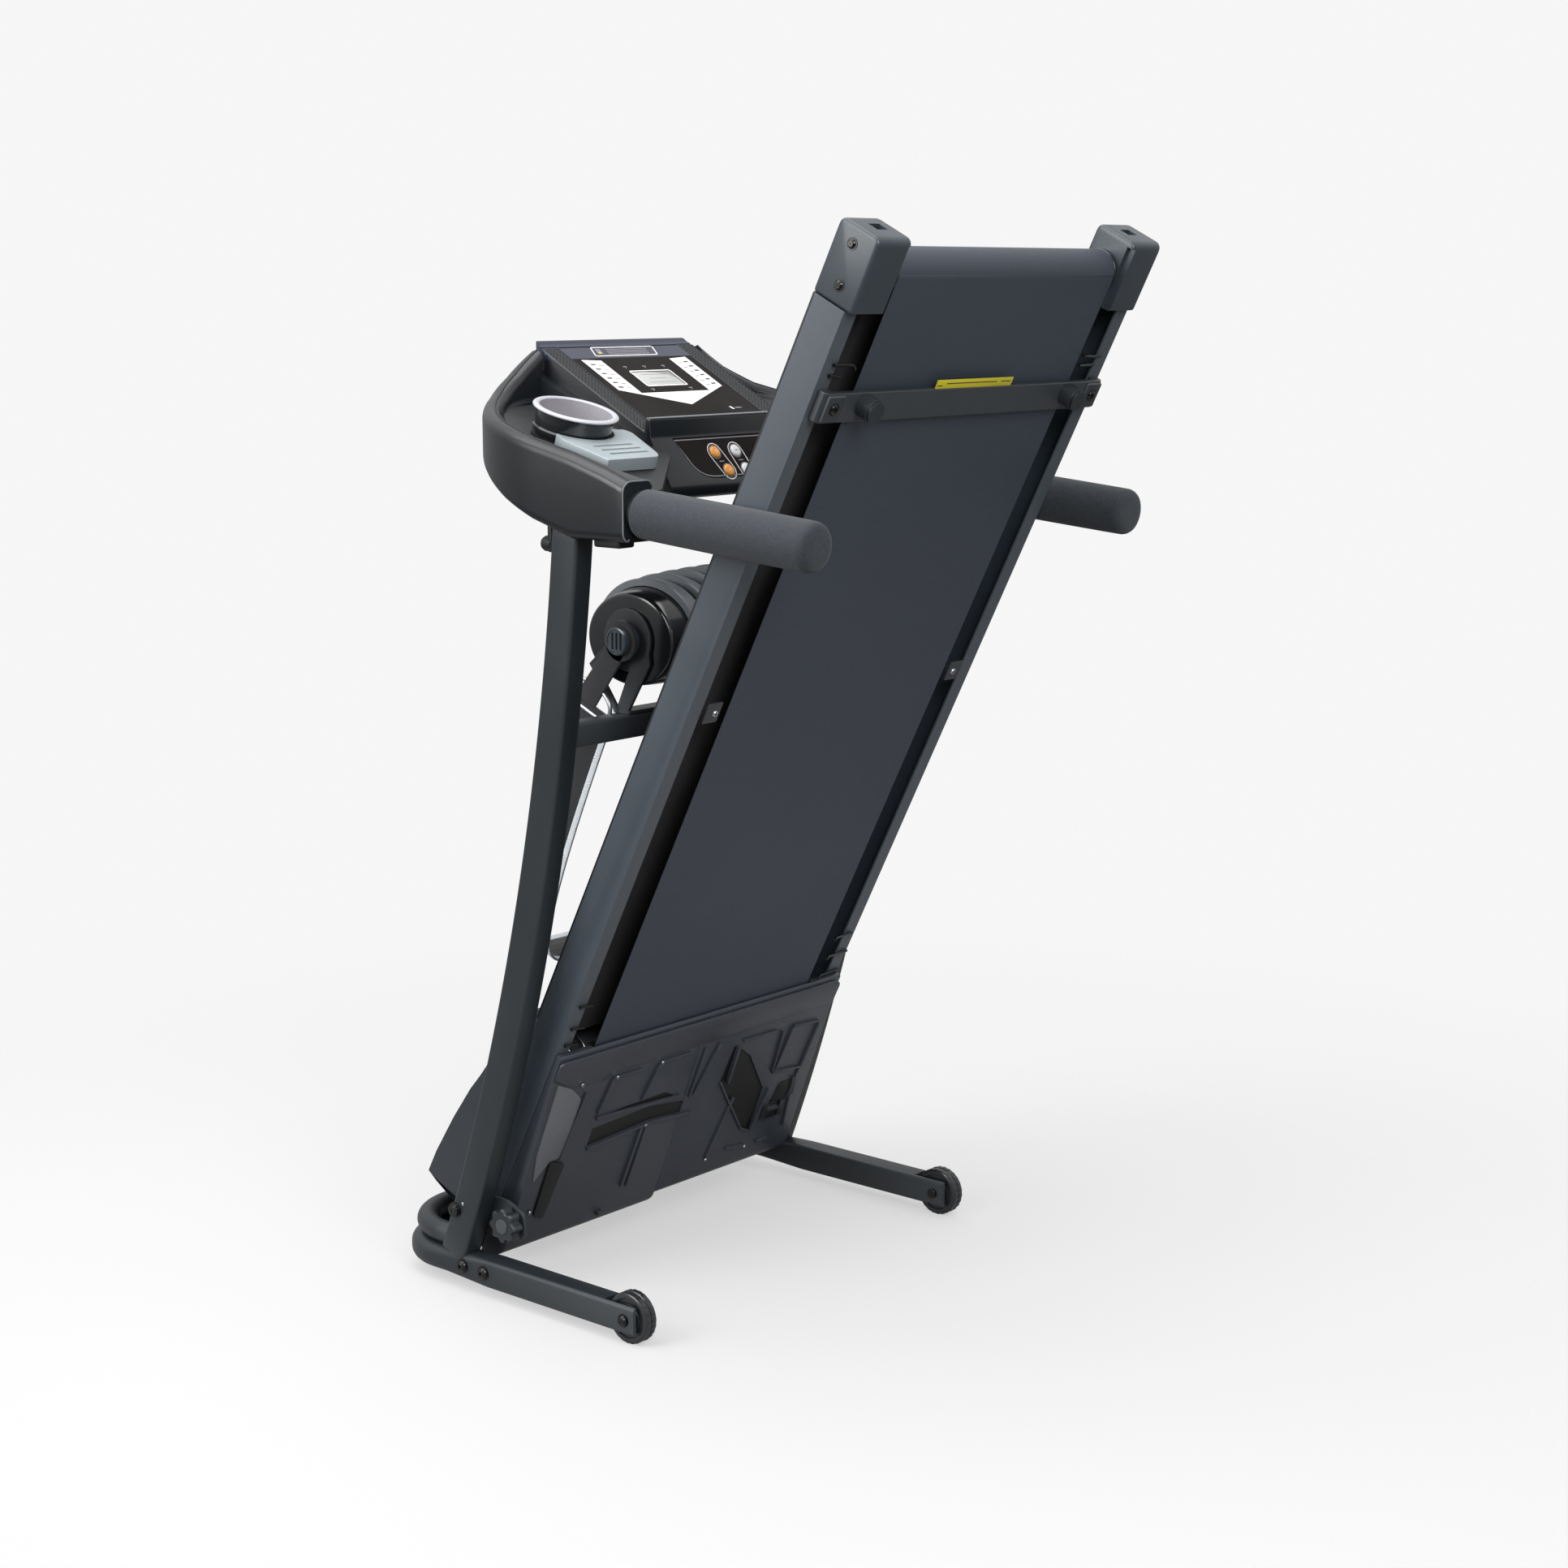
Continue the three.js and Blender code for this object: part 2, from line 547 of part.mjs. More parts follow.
const LCD_BOX = { half: 34, top: 68, bottom: 100 };
const facePlate = cut(box(-105.7, 105.7, 8.3, 193.7, -PLATE + GAP, 0),
  box(-LCD_BOX.half - GAP, LCD_BOX.half + GAP, LCD_BOX.top - GAP, LCD_BOX.bottom + GAP, -9, 9));
piece(treadmill, 'face_panel', onDisplay(facePlate), OVERLAY);
piece(treadmill, 'lcd_window',
  onDisplay(box(-LCD_BOX.half, LCD_BOX.half, LCD_BOX.top, LCD_BOX.bottom, -PLATE + GAP, -0.5)), LCD);
piece(treadmill, 'key_panel', onKeys(cut(slab(keyPanelOutline(0), -PLATE + GAP, 0),
  post(SAFETY.x, SAFETY.y, -5, 5, SAFETY.r + GAP),
  ...keySpots.map(({ x, y }) => post(x, y, -5, 5, KEY.r + GAP)))), OVERLAY);
keySpots.forEach(({ name, x, y, material }) => {
  const cap = join(post(x, y, -9, 1.8, KEY.r, 28), post(x, y, -9, -7, KEY.r + 0.2, 28));
  piece(treadmill, name, onKeys(cap), material);
});
piece(treadmill, 'safety_key', onKeys(join(post(SAFETY.x, SAFETY.y, -10, 4, SAFETY.r, 32),
  post(SAFETY.x, SAFETY.y, 3.5, 7, SAFETY.r + 2, 32),
  box(SAFETY.x - 2, SAFETY.x + 2, SAFETY.y - 9, SAFETY.y + 9, 6, 16))), ORANGE);

// ---- belt massager on the crossbar --------------------------------------------------------

const barTop = CROSSBAR.z + CROSSBAR.size / 2 + GAP;

// saddle on the crossbar; each end has a plate with an eye for the hub, on two slanting legs
function massagerBracket() {
  const y = crossbarY;
  const saddle = box(-191, 191, y - 13, y + 13, barTop, barTop + 4);
  const side = (s) => {
    const [x0, x1] = s > 0 ? [187, 191] : [-191, -187];
    const leg = prism(outline([[y - 10, barTop + 1], [y + 10, barTop + 1], [y - 22, 790],
      [MASSAGER.y - 33, 800], [MASSAGER.y - 36, 778]]), x0, x1);
    const stay = prism(outline([[y + 2, barTop + 1], [y + 12, barTop + 1],
      [MASSAGER.y + 62, 772], [MASSAGER.y + 30, 800], [MASSAGER.y + 26, 790],
      [MASSAGER.y + 48, 768]]), x0, x1);
    return join(leg, stay, bar(x0, x1, MASSAGER.y, MASSAGER.z, 37, 36));
  };
  return cut(join(saddle, side(1), side(-1)), bar(-200, 200, MASSAGER.y, MASSAGER.z, 20.3, 32));
}

// one slice of the massager's body: a flattened oval, smaller towards the ends
function massagerRing(x, extra, from, to, count) {
  const t = Math.abs(x) / MASSAGER.half;
  const shrink = 1 - 0.2 * t ** 4;
  const rise = MASSAGER.crown * (1 - t * t);
  const ring = [];
  for (let k = 0; k < count; k += 1) {
    const a = from + ((to - from) * k) / (to - from >= 2 * Math.PI ? count : count - 1);
    ring.push([x, MASSAGER.y + (MASSAGER.ry * shrink + extra) * Math.cos(a),
      MASSAGER.z + rise + (MASSAGER.rz * shrink + extra) * Math.sin(a)]);
  }
  return ring;
}

function massagerHousing() {
  const rings = [];
  for (let k = 0; k <= 12; k += 1) {
    rings.push(massagerRing(MASSAGER.half * (k / 6 - 1), 0, 0, 2 * Math.PI, 28));
  }
  const body = loft(rings);
  const hubRoom = [-1, 1].map((s) => bar(s * (MASSAGER.half - 14), s * 200, MASSAGER.y, MASSAGER.z, 21));
  return cut(body, ...hubRoom);
}

// ribbed pad over the top of the body, its ribs running front to back
function massagerPad() {
  const ribs = 8;
  const span = 150;
  const [from, to, count] = [rad(28), rad(152), 14];
  const rings = [];
  const slice = (x, h) => rings.push([...massagerRing(x, h, from, to, count),
    ...massagerRing(x, 0.6, from, to, count).reverse()]);
  for (let k = 0; k < ribs; k += 1) {
    const x0 = -span + (2 * span * k) / ribs;
    slice(x0 + 0.5, 5);
    slice(x0 + (2 * span) / ribs - 0.5, 9);
  }
  return loft(rings);
}

// a hub turns in each end of the body and shakes the belt's eye
const massagerHub = cut(
  join(bar(MASSAGER.half - 12, 199, MASSAGER.y, MASSAGER.z, 20, 32),
    bar(198, 210, MASSAGER.y, MASSAGER.z, 17, 32)),
  ...[-6.5, 0, 6.5].map((d) => box(207.5, 212, MASSAGER.y + d - 1.6, MASSAGER.y + d + 1.6,
    MASSAGER.z - 11, MASSAGER.z + 11)));

// webbing that hangs in a long loop from one hub to the other
function massageBelt() {
  const lean = rad(20.5);
  const down = new THREE.Vector3(0, Math.sin(lean), -Math.cos(lean));
  const across = new THREE.Vector3(0, Math.cos(lean), Math.sin(lean));
  const [half, drop, thick] = [200, 385, 3];
  const top = new THREE.Vector3(0, 118, 728);
  const rings = [];
  const count = 26;
  for (let k = 0; k <= count; k += 1) {
    const u = (2 * k) / count - 1;
    const side = Math.sign(u) * Math.min(1, Math.abs(u) ** 0.35);
    const depth = drop * (1 - Math.abs(u) ** 2.2);
    const width = 34 + 26 * (1 - Math.abs(u) ** 3);
    const mid = top.clone().addScaledVector(down, depth).setX(half * side);
    rings.push({ mid, width });
  }
  const skin = rings.map(({ mid, width }, k) => {
    const before = rings[Math.max(k - 1, 0)].mid;
    const after = rings[Math.min(k + 1, count)].mid;
    const tangent = after.clone().sub(before).normalize();
    const normal = new THREE.Vector3().crossVectors(tangent, across).normalize();
    const corner = (a, b) => mid.clone().addScaledVector(across, a * width)
      .addScaledVector(normal, (b * thick) / 2).toArray();
    return [corner(-1, -1), corner(1, -1), corner(1, 1), corner(-1, 1)];
  });
  const eye = (x0, x1) => cut(join(bar(x0, x1, MASSAGER.y, MASSAGER.z, 24, 32),
    prism(outline([[66, 814], [48, 794], [102, 722], [132, 736]]), x0, x1)),
  bar(-220, 220, MASSAGER.y, MASSAGER.z, 17.4, 32));
  return join(loft(skin), eye(200, 203), eye(-203, -200));
}

piece(treadmill, 'massager_bracket', massagerBracket(), BLACK_STEEL);
piece(treadmill, 'massager_housing', massagerHousing(), BLACK_PLASTIC);
piece(treadmill, 'massager_pad', massagerPad(), SHELL_PLASTIC);
pair(treadmill, 'massager_hub', massagerHub, BLACK_PLASTIC);
piece(treadmill, 'massage_belt', massageBelt(), WEBBING);

// ---- fold lock -------------------------------------------------------------------------------

function lockKnob() {
  const lobes = 7;
  const star = new THREE.Shape();
  for (let k = 0; k < lobes * 6; k += 1) {
    const a = (k / (lobes * 6)) * 2 * Math.PI;
    const r = 21.5 + 2.4 * Math.cos(lobes * a);
    const p = [LOCK.y + r * Math.cos(a), LOCK.z + r * Math.sin(a)];
    if (k === 0) star.moveTo(...p);
    else star.lineTo(...p);
  }
  const plateOut = -(BASE_HALF - UPRIGHT.w) - 0.5;
  return join(prism(star, plateOut - 19, plateOut - 3),
    bar(plateOut - 5, plateOut - GAP, LOCK.y, LOCK.z, 11),
    bar(plateOut - 5, -RAIL.half - 1, LOCK.y, LOCK.z, LOCK.boss - GAP));
}
piece(treadmill, 'lock_knob', lockKnob(), BLACK_PLASTIC);

// ---- deck, drawn lying flat with the pivot at the origin and the tail towards -Y ---------------

function rail() {
  const { half, h, flange, t, front, rear } = RAIL;
  const top = h / 2;
  const section = outline([[half, -top], [half, top], [half - flange, top], [half - flange, top - t],
    [half - t, top - t], [half - t, -top + t], [half - flange, -top + t], [half - flange, -top]]);
  const body = new THREE.ExtrudeGeometry(section, { depth: front - rear, bevelEnabled: false })
    .rotateX(Math.PI / 2).translate(0, front, 0);
  return cut(body, bar(200, 300, 0, 0, PIVOT.r + GAP), box(200, 300, -60, -66, -6, 6));
}

pair(deck, 'rail', rail(), BLACK_STEEL);

const FOOT_RAIL_FRONT = 266;

// plastic foot rail: a thin outer edge on the rail, raised towards the belt
function footRail() {
  const edge = RAIL.half - 1;
  const seat = RAIL.h / 2 + GAP;
  const shape = outline([[204, 25.4], [204, 31.5], [247, 31.5], [edge, 25.4], [edge, seat],
    [243, seat], [241, 25.4]]);
  const body = new THREE.ExtrudeGeometry(shape, { depth: -FOOT_RAIL_FRONT - CAP.front - GAP,
    bevelEnabled: false }).rotateX(Math.PI / 2).translate(0, -FOOT_RAIL_FRONT, 0);
  return cut(body, ...[212, 220, 228, 236].map((x) => box(x - 1, x + 1, -275, -1215, 30.7, 33)));
}
pair(deck, 'foot_rail', footRail(), BLACK_PLASTIC);

function endCap() {
  const { inner, outer, rear, front, bottom, top } = CAP;
  const side = new THREE.Shape();
  const r = 9;
  side.moveTo(front, bottom);
  side.lineTo(front, top);
  side.lineTo(rear + r, top);
  side.absarc(rear + r, top - r, r, Math.PI / 2, Math.PI, false);
  side.lineTo(rear, bottom + r);
  side.absarc(rear + r, bottom + r, r, Math.PI, 1.5 * Math.PI, false);
  const slot = box(inner - 1, inner + 16, ROLLER.rear - 12, ROLLER.rear + 10, -8.6, 8.6);
  const adjuster = box(224, 240, rear - 1, rear + 14, -6, 6);
  return cut(prism(side, inner, outer, 4), slot, adjuster);
}
pair(deck, 'end_cap', endCap(), BLACK_PLASTIC);

piece(deck, 'deck_board', box(-240, 240, -245, CAP.front + 2, 5, 23), BOARD);

function runningBelt() {
  const loop = (r) => {
    const shape = new THREE.Shape();
    shape.absarc(ROLLER.front, 0, r, Math.PI / 2, -Math.PI / 2, true);
    shape.absarc(ROLLER.rear, 0, r, -Math.PI / 2, -1.5 * Math.PI, true);
    return shape;
  };
  return cut(prism(loop(ROLLER.r + 0.4 + BELT.t), -BELT.half, BELT.half, 16),
    prism(loop(ROLLER.r + 0.4), -BELT.half - 1, BELT.half + 1, 16));
}
piece(deck, 'running_belt', runningBelt(), BELT_RUBBER);

const FRONT_SHAFT = RAIL.half - RAIL.t - 1;
const PULLEY = { x0: -228, x1: -209, r: 22.5 };
piece(deck, 'front_roller', join(
  bar(-BELT.half - 3, BELT.half + 3, ROLLER.front, 0, ROLLER.r, 40),
  bar(-FRONT_SHAFT, FRONT_SHAFT, ROLLER.front, 0, ROLLER.shaft, 20),
  bar(PULLEY.x0, PULLEY.x1, ROLLER.front, 0, PULLEY.r, 32)), BRIGHT_STEEL);
piece(deck, 'rear_roller', join(
  bar(-BELT.half - 1, BELT.half + 1, ROLLER.rear, 0, ROLLER.r, 40),
  bar(-CAP.inner - 15, CAP.inner + 15, ROLLER.rear, 0, ROLLER.shaft, 20),
  bar(-BELT.half - 5, -BELT.half - 0.8, ROLLER.rear, 0, ROLLER.r + 2.5, 40),
  bar(BELT.half + 0.8, BELT.half + 5, ROLLER.rear, 0, ROLLER.r + 2.5, 40)), BLACK_STEEL);

// cross member under the belt with its ends stepped up to the rails
const TAIL_BAR = { front: -1098, rear: -1133, top: -28, bottom: -35, half: 258 };
function rearCrossbar() {
  const { half, top, bottom, front, rear } = TAIL_BAR;
  const rise = -RAIL.h / 2 - GAP;
  const shape = outline([[-half, rise], [-half, bottom + 4], [-half + 5, bottom], [half - 5, bottom],
    [half, bottom + 4], [half, rise], [half - 15, rise], [half - 17, top], [-half + 17, top],
    [-half + 15, rise]]);
  return new THREE.ExtrudeGeometry(shape, { depth: front - rear, bevelEnabled: false })
    .rotateX(Math.PI / 2).translate(0, front, 0);
}
piece(deck, 'rear_crossbar', rearCrossbar(), BLACK_STEEL);
pair(deck, 'deck_foot', join(post(189, -1119, -55, TAIL_BAR.bottom - GAP, 12.5, 28),
  post(189, -1119, -51, TAIL_BAR.bottom - GAP, 13.5, 28)), RUBBER);

// belly pan under the motor: a tub with a raised band at its tail side, longer on its left
const tail = (points) => outline(points.map(([s, z]) => [-s, z]));
// the rocker switch sits in a hole in the pan
const SWITCH = { x: 205, s: 46, z: -47 };
const PAN_FRONT = { left: -49, right: -38, step: 4 };
function bellyPan() {
  const rim = -RAIL.h / 2 - GAP;
  const skin = (f, x0, x1) => prism(tail([[245, rim], [245, -31], [207, -32], [205, -34], [0, -54],
    [f + 12, -56], [f, -50], [f - 18, rim]]), x0, x1);
  const room = (f, x0, x1) => prism(tail([[241.5, rim + 5], [241.5, -28], [204, -30.5], [0, -50.5],
    [f + 14, -52.5], [f + 3, -47.5], [f - 12, rim + 5]]), x0, x1);
  const { left, right, step } = PAN_FRONT;
  const tub = join(skin(right, -PAN_HALF, PAN_HALF), skin(left, -PAN_HALF, step));
  const hollow = join(room(right, -PAN_HALF + SHELL, PAN_HALF - SHELL),
    room(left, -PAN_HALF + SHELL, step - SHELL));
  const beltGate = box(-206, 206, -240, -247, -27.5, -15);
  const switchHole = box(SWITCH.x - 11.8, SWITCH.x + 11.8, -SWITCH.s - 18, -SWITCH.s + 17, -70, -30);
  return cut(tub, hollow, beltGate, switchHole);
}
piece(deck, 'belly_pan', bellyPan(), BLACK_PLASTIC);

// rocker switch in the right side of the pan

piece(deck, 'power_switch', join(
  box(SWITCH.x - 11, SWITCH.x + 11, -SWITCH.s - 14, -SWITCH.s + 14, SWITCH.z - 1, SWITCH.z + 6),
  bar(SWITCH.x - 11, SWITCH.x + 11, -SWITCH.s, SWITCH.z, 5, 16)), BLACK_PLASTIC);

function motorHood() {
  const low = RAIL.h / 2 + GAP;
  const nose = -4;
  const sill = 26.5;
  const skin = prism(tail([[238, low], [238, sill], [262, sill], [262, 40], [252, 52], [236, 60],
    [132, 82], [104, 89.5], [51, 98.7], [-9, 105.5], [-44, 106.5], [-58, 100], [-68, 84],
    [-76, 62], [-76, 16],
    [-64, nose], [-38, nose], [-38, low]]), -HOOD_HALF, HOOD_HALF);
  const room = prism(tail([[235, low - 5], [235, sill + 3], [259, sill + 3], [259, 38], [250, 48.5],
    [235, 56.8], [132, 78.8], [104, 86.3], [51, 95.5], [-9, 102.3], [-43, 103.3], [-55, 98],
    [-65, 83], [-73, 61],
    [-73, 16.5], [-61.5, nose - 5], [-30, nose - 5], [-30, low - 5]]),
  -HOOD_HALF + SHELL, HOOD_HALF - SHELL);
  const corner = (side) => slab(outline([[side * 300, 40], [side * 300, 120], [side * 190, 120],
    [side * 222, 77], [side * 252.5, 40]]), -60, 140);
  return cut(skin, room, corner(1), corner(-1), box(-206, 206, -228, -246, 10, sill));
}
piece(deck, 'motor_hood', motorHood(), BLACK_PLASTIC);

const RAIL_ROOM = RAIL.half - RAIL.t - GAP;
const MOTOR = { s: 85, z: 20, r: 43, x0: -168, x1: -10 };
piece(deck, 'drive_motor', join(bar(MOTOR.x0, MOTOR.x1, -MOTOR.s, MOTOR.z, MOTOR.r, 32),
  bar(MOTOR.x0 - 6, MOTOR.x1 + 8, -MOTOR.s, MOTOR.z, 14, 20),
  box(MOTOR.x0 + 10, MOTOR.x1 - 10, -MOTOR.s - 60, -MOTOR.s + 25, -18, -12),
  box(MOTOR.x1 - 30, RAIL_ROOM, -MOTOR.s - 25, -MOTOR.s + 25, -18, -14),
  box(-RAIL_ROOM, RAIL_ROOM, -MOTOR.s - 67, -MOTOR.s - 50, -18, -14)), BLACK_STEEL);
piece(deck, 'motor_pulley', join(bar(-190, -176, -MOTOR.s, MOTOR.z, 46, 36),
  bar(PULLEY.x0, -176, -MOTOR.s, MOTOR.z, 14, 28)), BRIGHT_STEEL);

function driveBelt() {
  const loop = (grow) => {
    const [a, b] = [PULLEY.r + grow, 14 + grow];
    const gap = Math.hypot(MOTOR.s + ROLLER.front, MOTOR.z);
    const along = Math.atan2(MOTOR.z, -ROLLER.front - MOTOR.s);
    const spread = Math.acos((a - b) / gap);
    const shape = new THREE.Shape();
    shape.absarc(ROLLER.front, 0, a, along + spread, along - spread, false);
    shape.absarc(-MOTOR.s, MOTOR.z, b, along - spread, along + spread, false);
    return shape;
  };
  return cut(prism(loop(2.6), PULLEY.x0 + 2, PULLEY.x1 - 2, 14),
    prism(loop(0.4), PULLEY.x0, PULLEY.x1, 14));
}
piece(deck, 'drive_belt', driveBelt(), RUBBER);

export default treadmill;
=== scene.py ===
"""Folding treadmill with a belt massager, standing folded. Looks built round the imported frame."""

from math import asin, atan2, copysign, cos, pi, radians, sin, tan

import bmesh
import bpy
from mathutils import Matrix, Vector


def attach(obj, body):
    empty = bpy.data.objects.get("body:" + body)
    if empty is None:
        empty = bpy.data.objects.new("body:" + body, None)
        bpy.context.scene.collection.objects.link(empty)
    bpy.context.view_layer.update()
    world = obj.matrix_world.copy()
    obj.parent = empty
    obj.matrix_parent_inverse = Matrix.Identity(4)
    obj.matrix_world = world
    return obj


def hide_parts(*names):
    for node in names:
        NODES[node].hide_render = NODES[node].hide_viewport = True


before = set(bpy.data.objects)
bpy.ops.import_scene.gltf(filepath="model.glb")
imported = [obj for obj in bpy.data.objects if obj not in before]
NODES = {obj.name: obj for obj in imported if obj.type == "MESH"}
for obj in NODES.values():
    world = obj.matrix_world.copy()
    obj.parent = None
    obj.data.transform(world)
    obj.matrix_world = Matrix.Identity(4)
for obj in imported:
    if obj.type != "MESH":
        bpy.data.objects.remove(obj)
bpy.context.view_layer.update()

# Shapes are drawn in millimetres. Each of these places turns a drawing into the row frame.
MM = Matrix.Scale(0.001, 4)
PIVOT = Vector((0, 242, 102))
FOLD = radians(63.4)
DECK = MM @ Matrix.Translation(PIVOT) @ Matrix.Rotation(-FOLD, 4, "X")
TRAY_Y, TRAY_Z, TRAY_SLOPE = 94, 1035, radians(16.2)
FACE_AT, KEYS_AT = (256, 1140, radians(29)), (71, 1036, radians(59.3))
MIRROR = Matrix.Diagonal((-1, 1, 1, 1))


def sloping(y, z, slope):
    """A place on a face that looks back and up: X to the left, Y down the face, Z off it."""
    c, s = cos(slope), sin(slope)
    turn = Matrix(((-1, 0, 0, 0), (0, -c, -s, y), (0, -s, c, z), (0, 0, 0, 1)))
    return MM @ turn


def tray_z(y):
    return TRAY_Z + (y - TRAY_Y) * tan(TRAY_SLOPE)


def on_tray(x, y, lift=0):
    """A place on the console's tray: X across, Y up its slope, Z off it."""
    return (MM @ Matrix.Translation((x, y, tray_z(y))) @ Matrix.Rotation(TRAY_SLOPE, 4, "X")
            @ Matrix.Translation((0, 0, lift)))


FACE, KEYS = sloping(*FACE_AT), sloping(*KEYS_AT)
SIDES = (("left", -1), ("right", 1))

CAMERA_AT = (-2.4948, -2.1346, 1.2175)
CAMERA_AZIMUTH, CAMERA_ELEVATION = radians(-49.7), radians(10.4)
SENSOR, LENS = 36, 63.08
STAGE_RADIUS, BACKDROP_RADIUS = 12, 20
PALE = (0.925, 0.925, 0.925, 1)
HEAD_EDGE = 1.123
# colour that convex edges lighten towards: partly rubbed-off paint, partly a painted highlight along
# the edges
RUB_AND_GLINT_RGB = (150, 155, 160)

# ---- materials ---------------------------------------------------------------------------


def linear(*rgb):
    """Display colour, 0 to 255, to linear light."""
    parts = [v / 255 for v in rgb]
    return [v / 12.92 if v <= 0.04045 else ((v + 0.055) / 1.055) ** 2.4 for v in parts]


class Nodes:
    """A short way to add and link shader nodes."""

    def __init__(self, tree):
        self.tree = tree

    def add(self, kind, inputs=None, **settings):
        node = self.tree.nodes.new(kind)
        for key, value in settings.items():
            setattr(node, key, value)
        for key, value in (inputs or {}).items():
            if isinstance(value, bpy.types.NodeSocket):
                self.tree.links.new(value, node.inputs[key])
            else:
                node.inputs[key].default_value = value
        return node

    def spread(self, value, low, high, to_low, to_high, **settings):
        """value from low to high, mapped to to_low to to_high."""
        return self.add("ShaderNodeMapRange", {0: value, 1: low, 2: high, 3: to_low, 4: to_high},
                        **settings).outputs[0]

    def mix(self, share, a, b):
        return self.add("ShaderNodeMix", {0: share, 6: a, 7: b}, data_type="RGBA").outputs[2]


def added(name, data):
    """A new object in the scene."""
    made = bpy.data.objects.new(name, data)
    bpy.context.scene.collection.objects.link(made)
    return made


def surface(name, rgb, rough, metal=0.0, grain=900.0, bump=0.15, mottle=0.18, patches=9.0,
            edge_rub_and_glint=0.0, coat=0.0, specular=0.5, sheen=0.0, height=None, tint=None):
    """Painted, moulded or printed surface: patches of colour, varied gloss, grain, and lighter convex
    edges that are partly rubbed-off paint and partly painted highlight.

    rgb is a display colour. height(nodes, position) gives a relief pattern in place of plain
    grain, and tint(nodes, position, colour socket) may change the colour.
    """
    rgb = linear(*rgb)
    material = bpy.data.materials.new(name)
    material.use_nodes = True
    nodes = Nodes(material.node_tree)
    shader = material.node_tree.nodes["Principled BSDF"]
    where = nodes.add("ShaderNodeTexCoord").outputs["Object"]
    broad = nodes.add("ShaderNodeTexNoise", {"Vector": where, "Scale": patches, "Detail": 3.0})
    fine = nodes.add("ShaderNodeTexNoise", {"Vector": where, "Scale": grain, "Detail": 2.0})
    low = [v * (1 - mottle) for v in rgb] + [1]
    high = [min(1.0, v * (1 + mottle)) for v in rgb] + [1]
    colour = nodes.mix(broad.outputs["Fac"], low, high)
    speckle = nodes.spread(fine.outputs["Fac"], 0.3, 0.7, 1 - mottle, 1 + mottle)
    colour = nodes.add("ShaderNodeVectorMath", {0: colour, 3: speckle}, operation="SCALE").outputs[0]
    if tint:
        colour = tint(nodes, where, colour)
    # lighter convex edges: partly rubbed-off paint, partly a painted highlight along the edges
    if edge_rub_and_glint:
        edge = nodes.add("ShaderNodeNewGeometry").outputs["Pointiness"]
        rub_and_glint_share = nodes.spread(edge, 0.52, 0.62, 0.0, edge_rub_and_glint)
        colour = nodes.mix(rub_and_glint_share, colour, linear(*RUB_AND_GLINT_RGB) + [1])
    gloss = nodes.spread(broad.outputs["Fac"], 0.3, 0.7, rough * 0.88, min(1.0, rough * 1.12))
    relief = height(nodes, where) if height else fine.outputs["Fac"]
    bumped = nodes.add("ShaderNodeBump", {"Height": relief, "Strength": bump, "Distance": 0.0006})
    for socket, source in (("Base Color", colour), ("Roughness", gloss),
                           ("Normal", bumped.outputs[0])):
        nodes.tree.links.new(source, shader.inputs[socket])
    for socket, value in (("Metallic", metal), ("Coat Weight", coat), ("Coat Roughness", 0.15),
                          ("Specular IOR Level", specular), ("Sheen Weight", sheen)):
        shader.inputs[socket].default_value = value
    return material


def weave(pitch):
    """Over and under threads, pitch apart in metres."""
    def height(nodes, where):
        waves = [nodes.add("ShaderNodeTexWave", {"Vector": where, "Scale": 1 / (pitch * 6.3)},
                           bands_direction=d).outputs["Fac"] for d in ("X", "Z")]
        return nodes.add("ShaderNodeMath", {0: waves[0], 1: waves[1], 2: 0.0},
                         operation="MULTIPLY").outputs[0]
    return height


def cells(pitch):
    """Small closed cells, as in foam."""
    def height(nodes, where):
        return nodes.add("ShaderNodeTexVoronoi", {"Vector": where, "Scale": 1 / pitch}).outputs[0]
    return height


STEEL = surface("powder_coat_black", (29, 34, 38), 0.42, grain=1500, bump=0.22, edge_rub_and_glint=0.18)
RAIL = surface("powder_coat_grey", (56, 64, 72), 0.40, grain=1500, bump=0.25, edge_rub_and_glint=0.25)
LIP = surface("bare_black_steel", (22, 24, 28), 0.5, grain=1200, bump=0.2, edge_rub_and_glint=0.2)
ZINC = surface("zinc_plate", (190, 194, 198), 0.28, metal=1.0, grain=700, bump=0.1)
BOLT = surface("black_oxide", (7, 7, 9), 0.14, grain=900, bump=0.04, specular=0.4, coat=0.2)
SHELL = surface("shell_plastic", (18, 22, 26), 0.32, grain=1800, bump=0.18, coat=0.15)
TRAY = surface("tray_plastic", (15, 18, 21), 0.45, grain=1800, bump=0.25)


def blue_on_top(nodes, where, colour):
    """The head's colour: blue over its upper edge, near black below."""
    z = nodes.add("ShaderNodeSeparateXYZ", {0: where}).outputs["Z"]
    share = nodes.spread(z, HEAD_EDGE - 0.0005, HEAD_EDGE + 0.0005, 0.0, 1.0)
    return nodes.mix(share, linear(18, 22, 26) + [1], colour)


BLUE = surface("head_plastic", (36, 42, 60), 0.32, grain=1800, bump=0.12, coat=0.1,
               tint=blue_on_top)
BLACK = surface("black_plastic", (22, 24, 27), 0.42, grain=1500, bump=0.2)
PAN = surface("pan_plastic", (54, 58, 65), 0.3, grain=1300, bump=0.25, mottle=0.22)
# near black: painted shade in the pan's recesses, screw slots, a cap hole and beside the ribs, and
# also the colour of a few dark pan parts
PAN_DARK = surface("pan_shadow", (9, 10, 12), 0.55, grain=1300, bump=0.2)
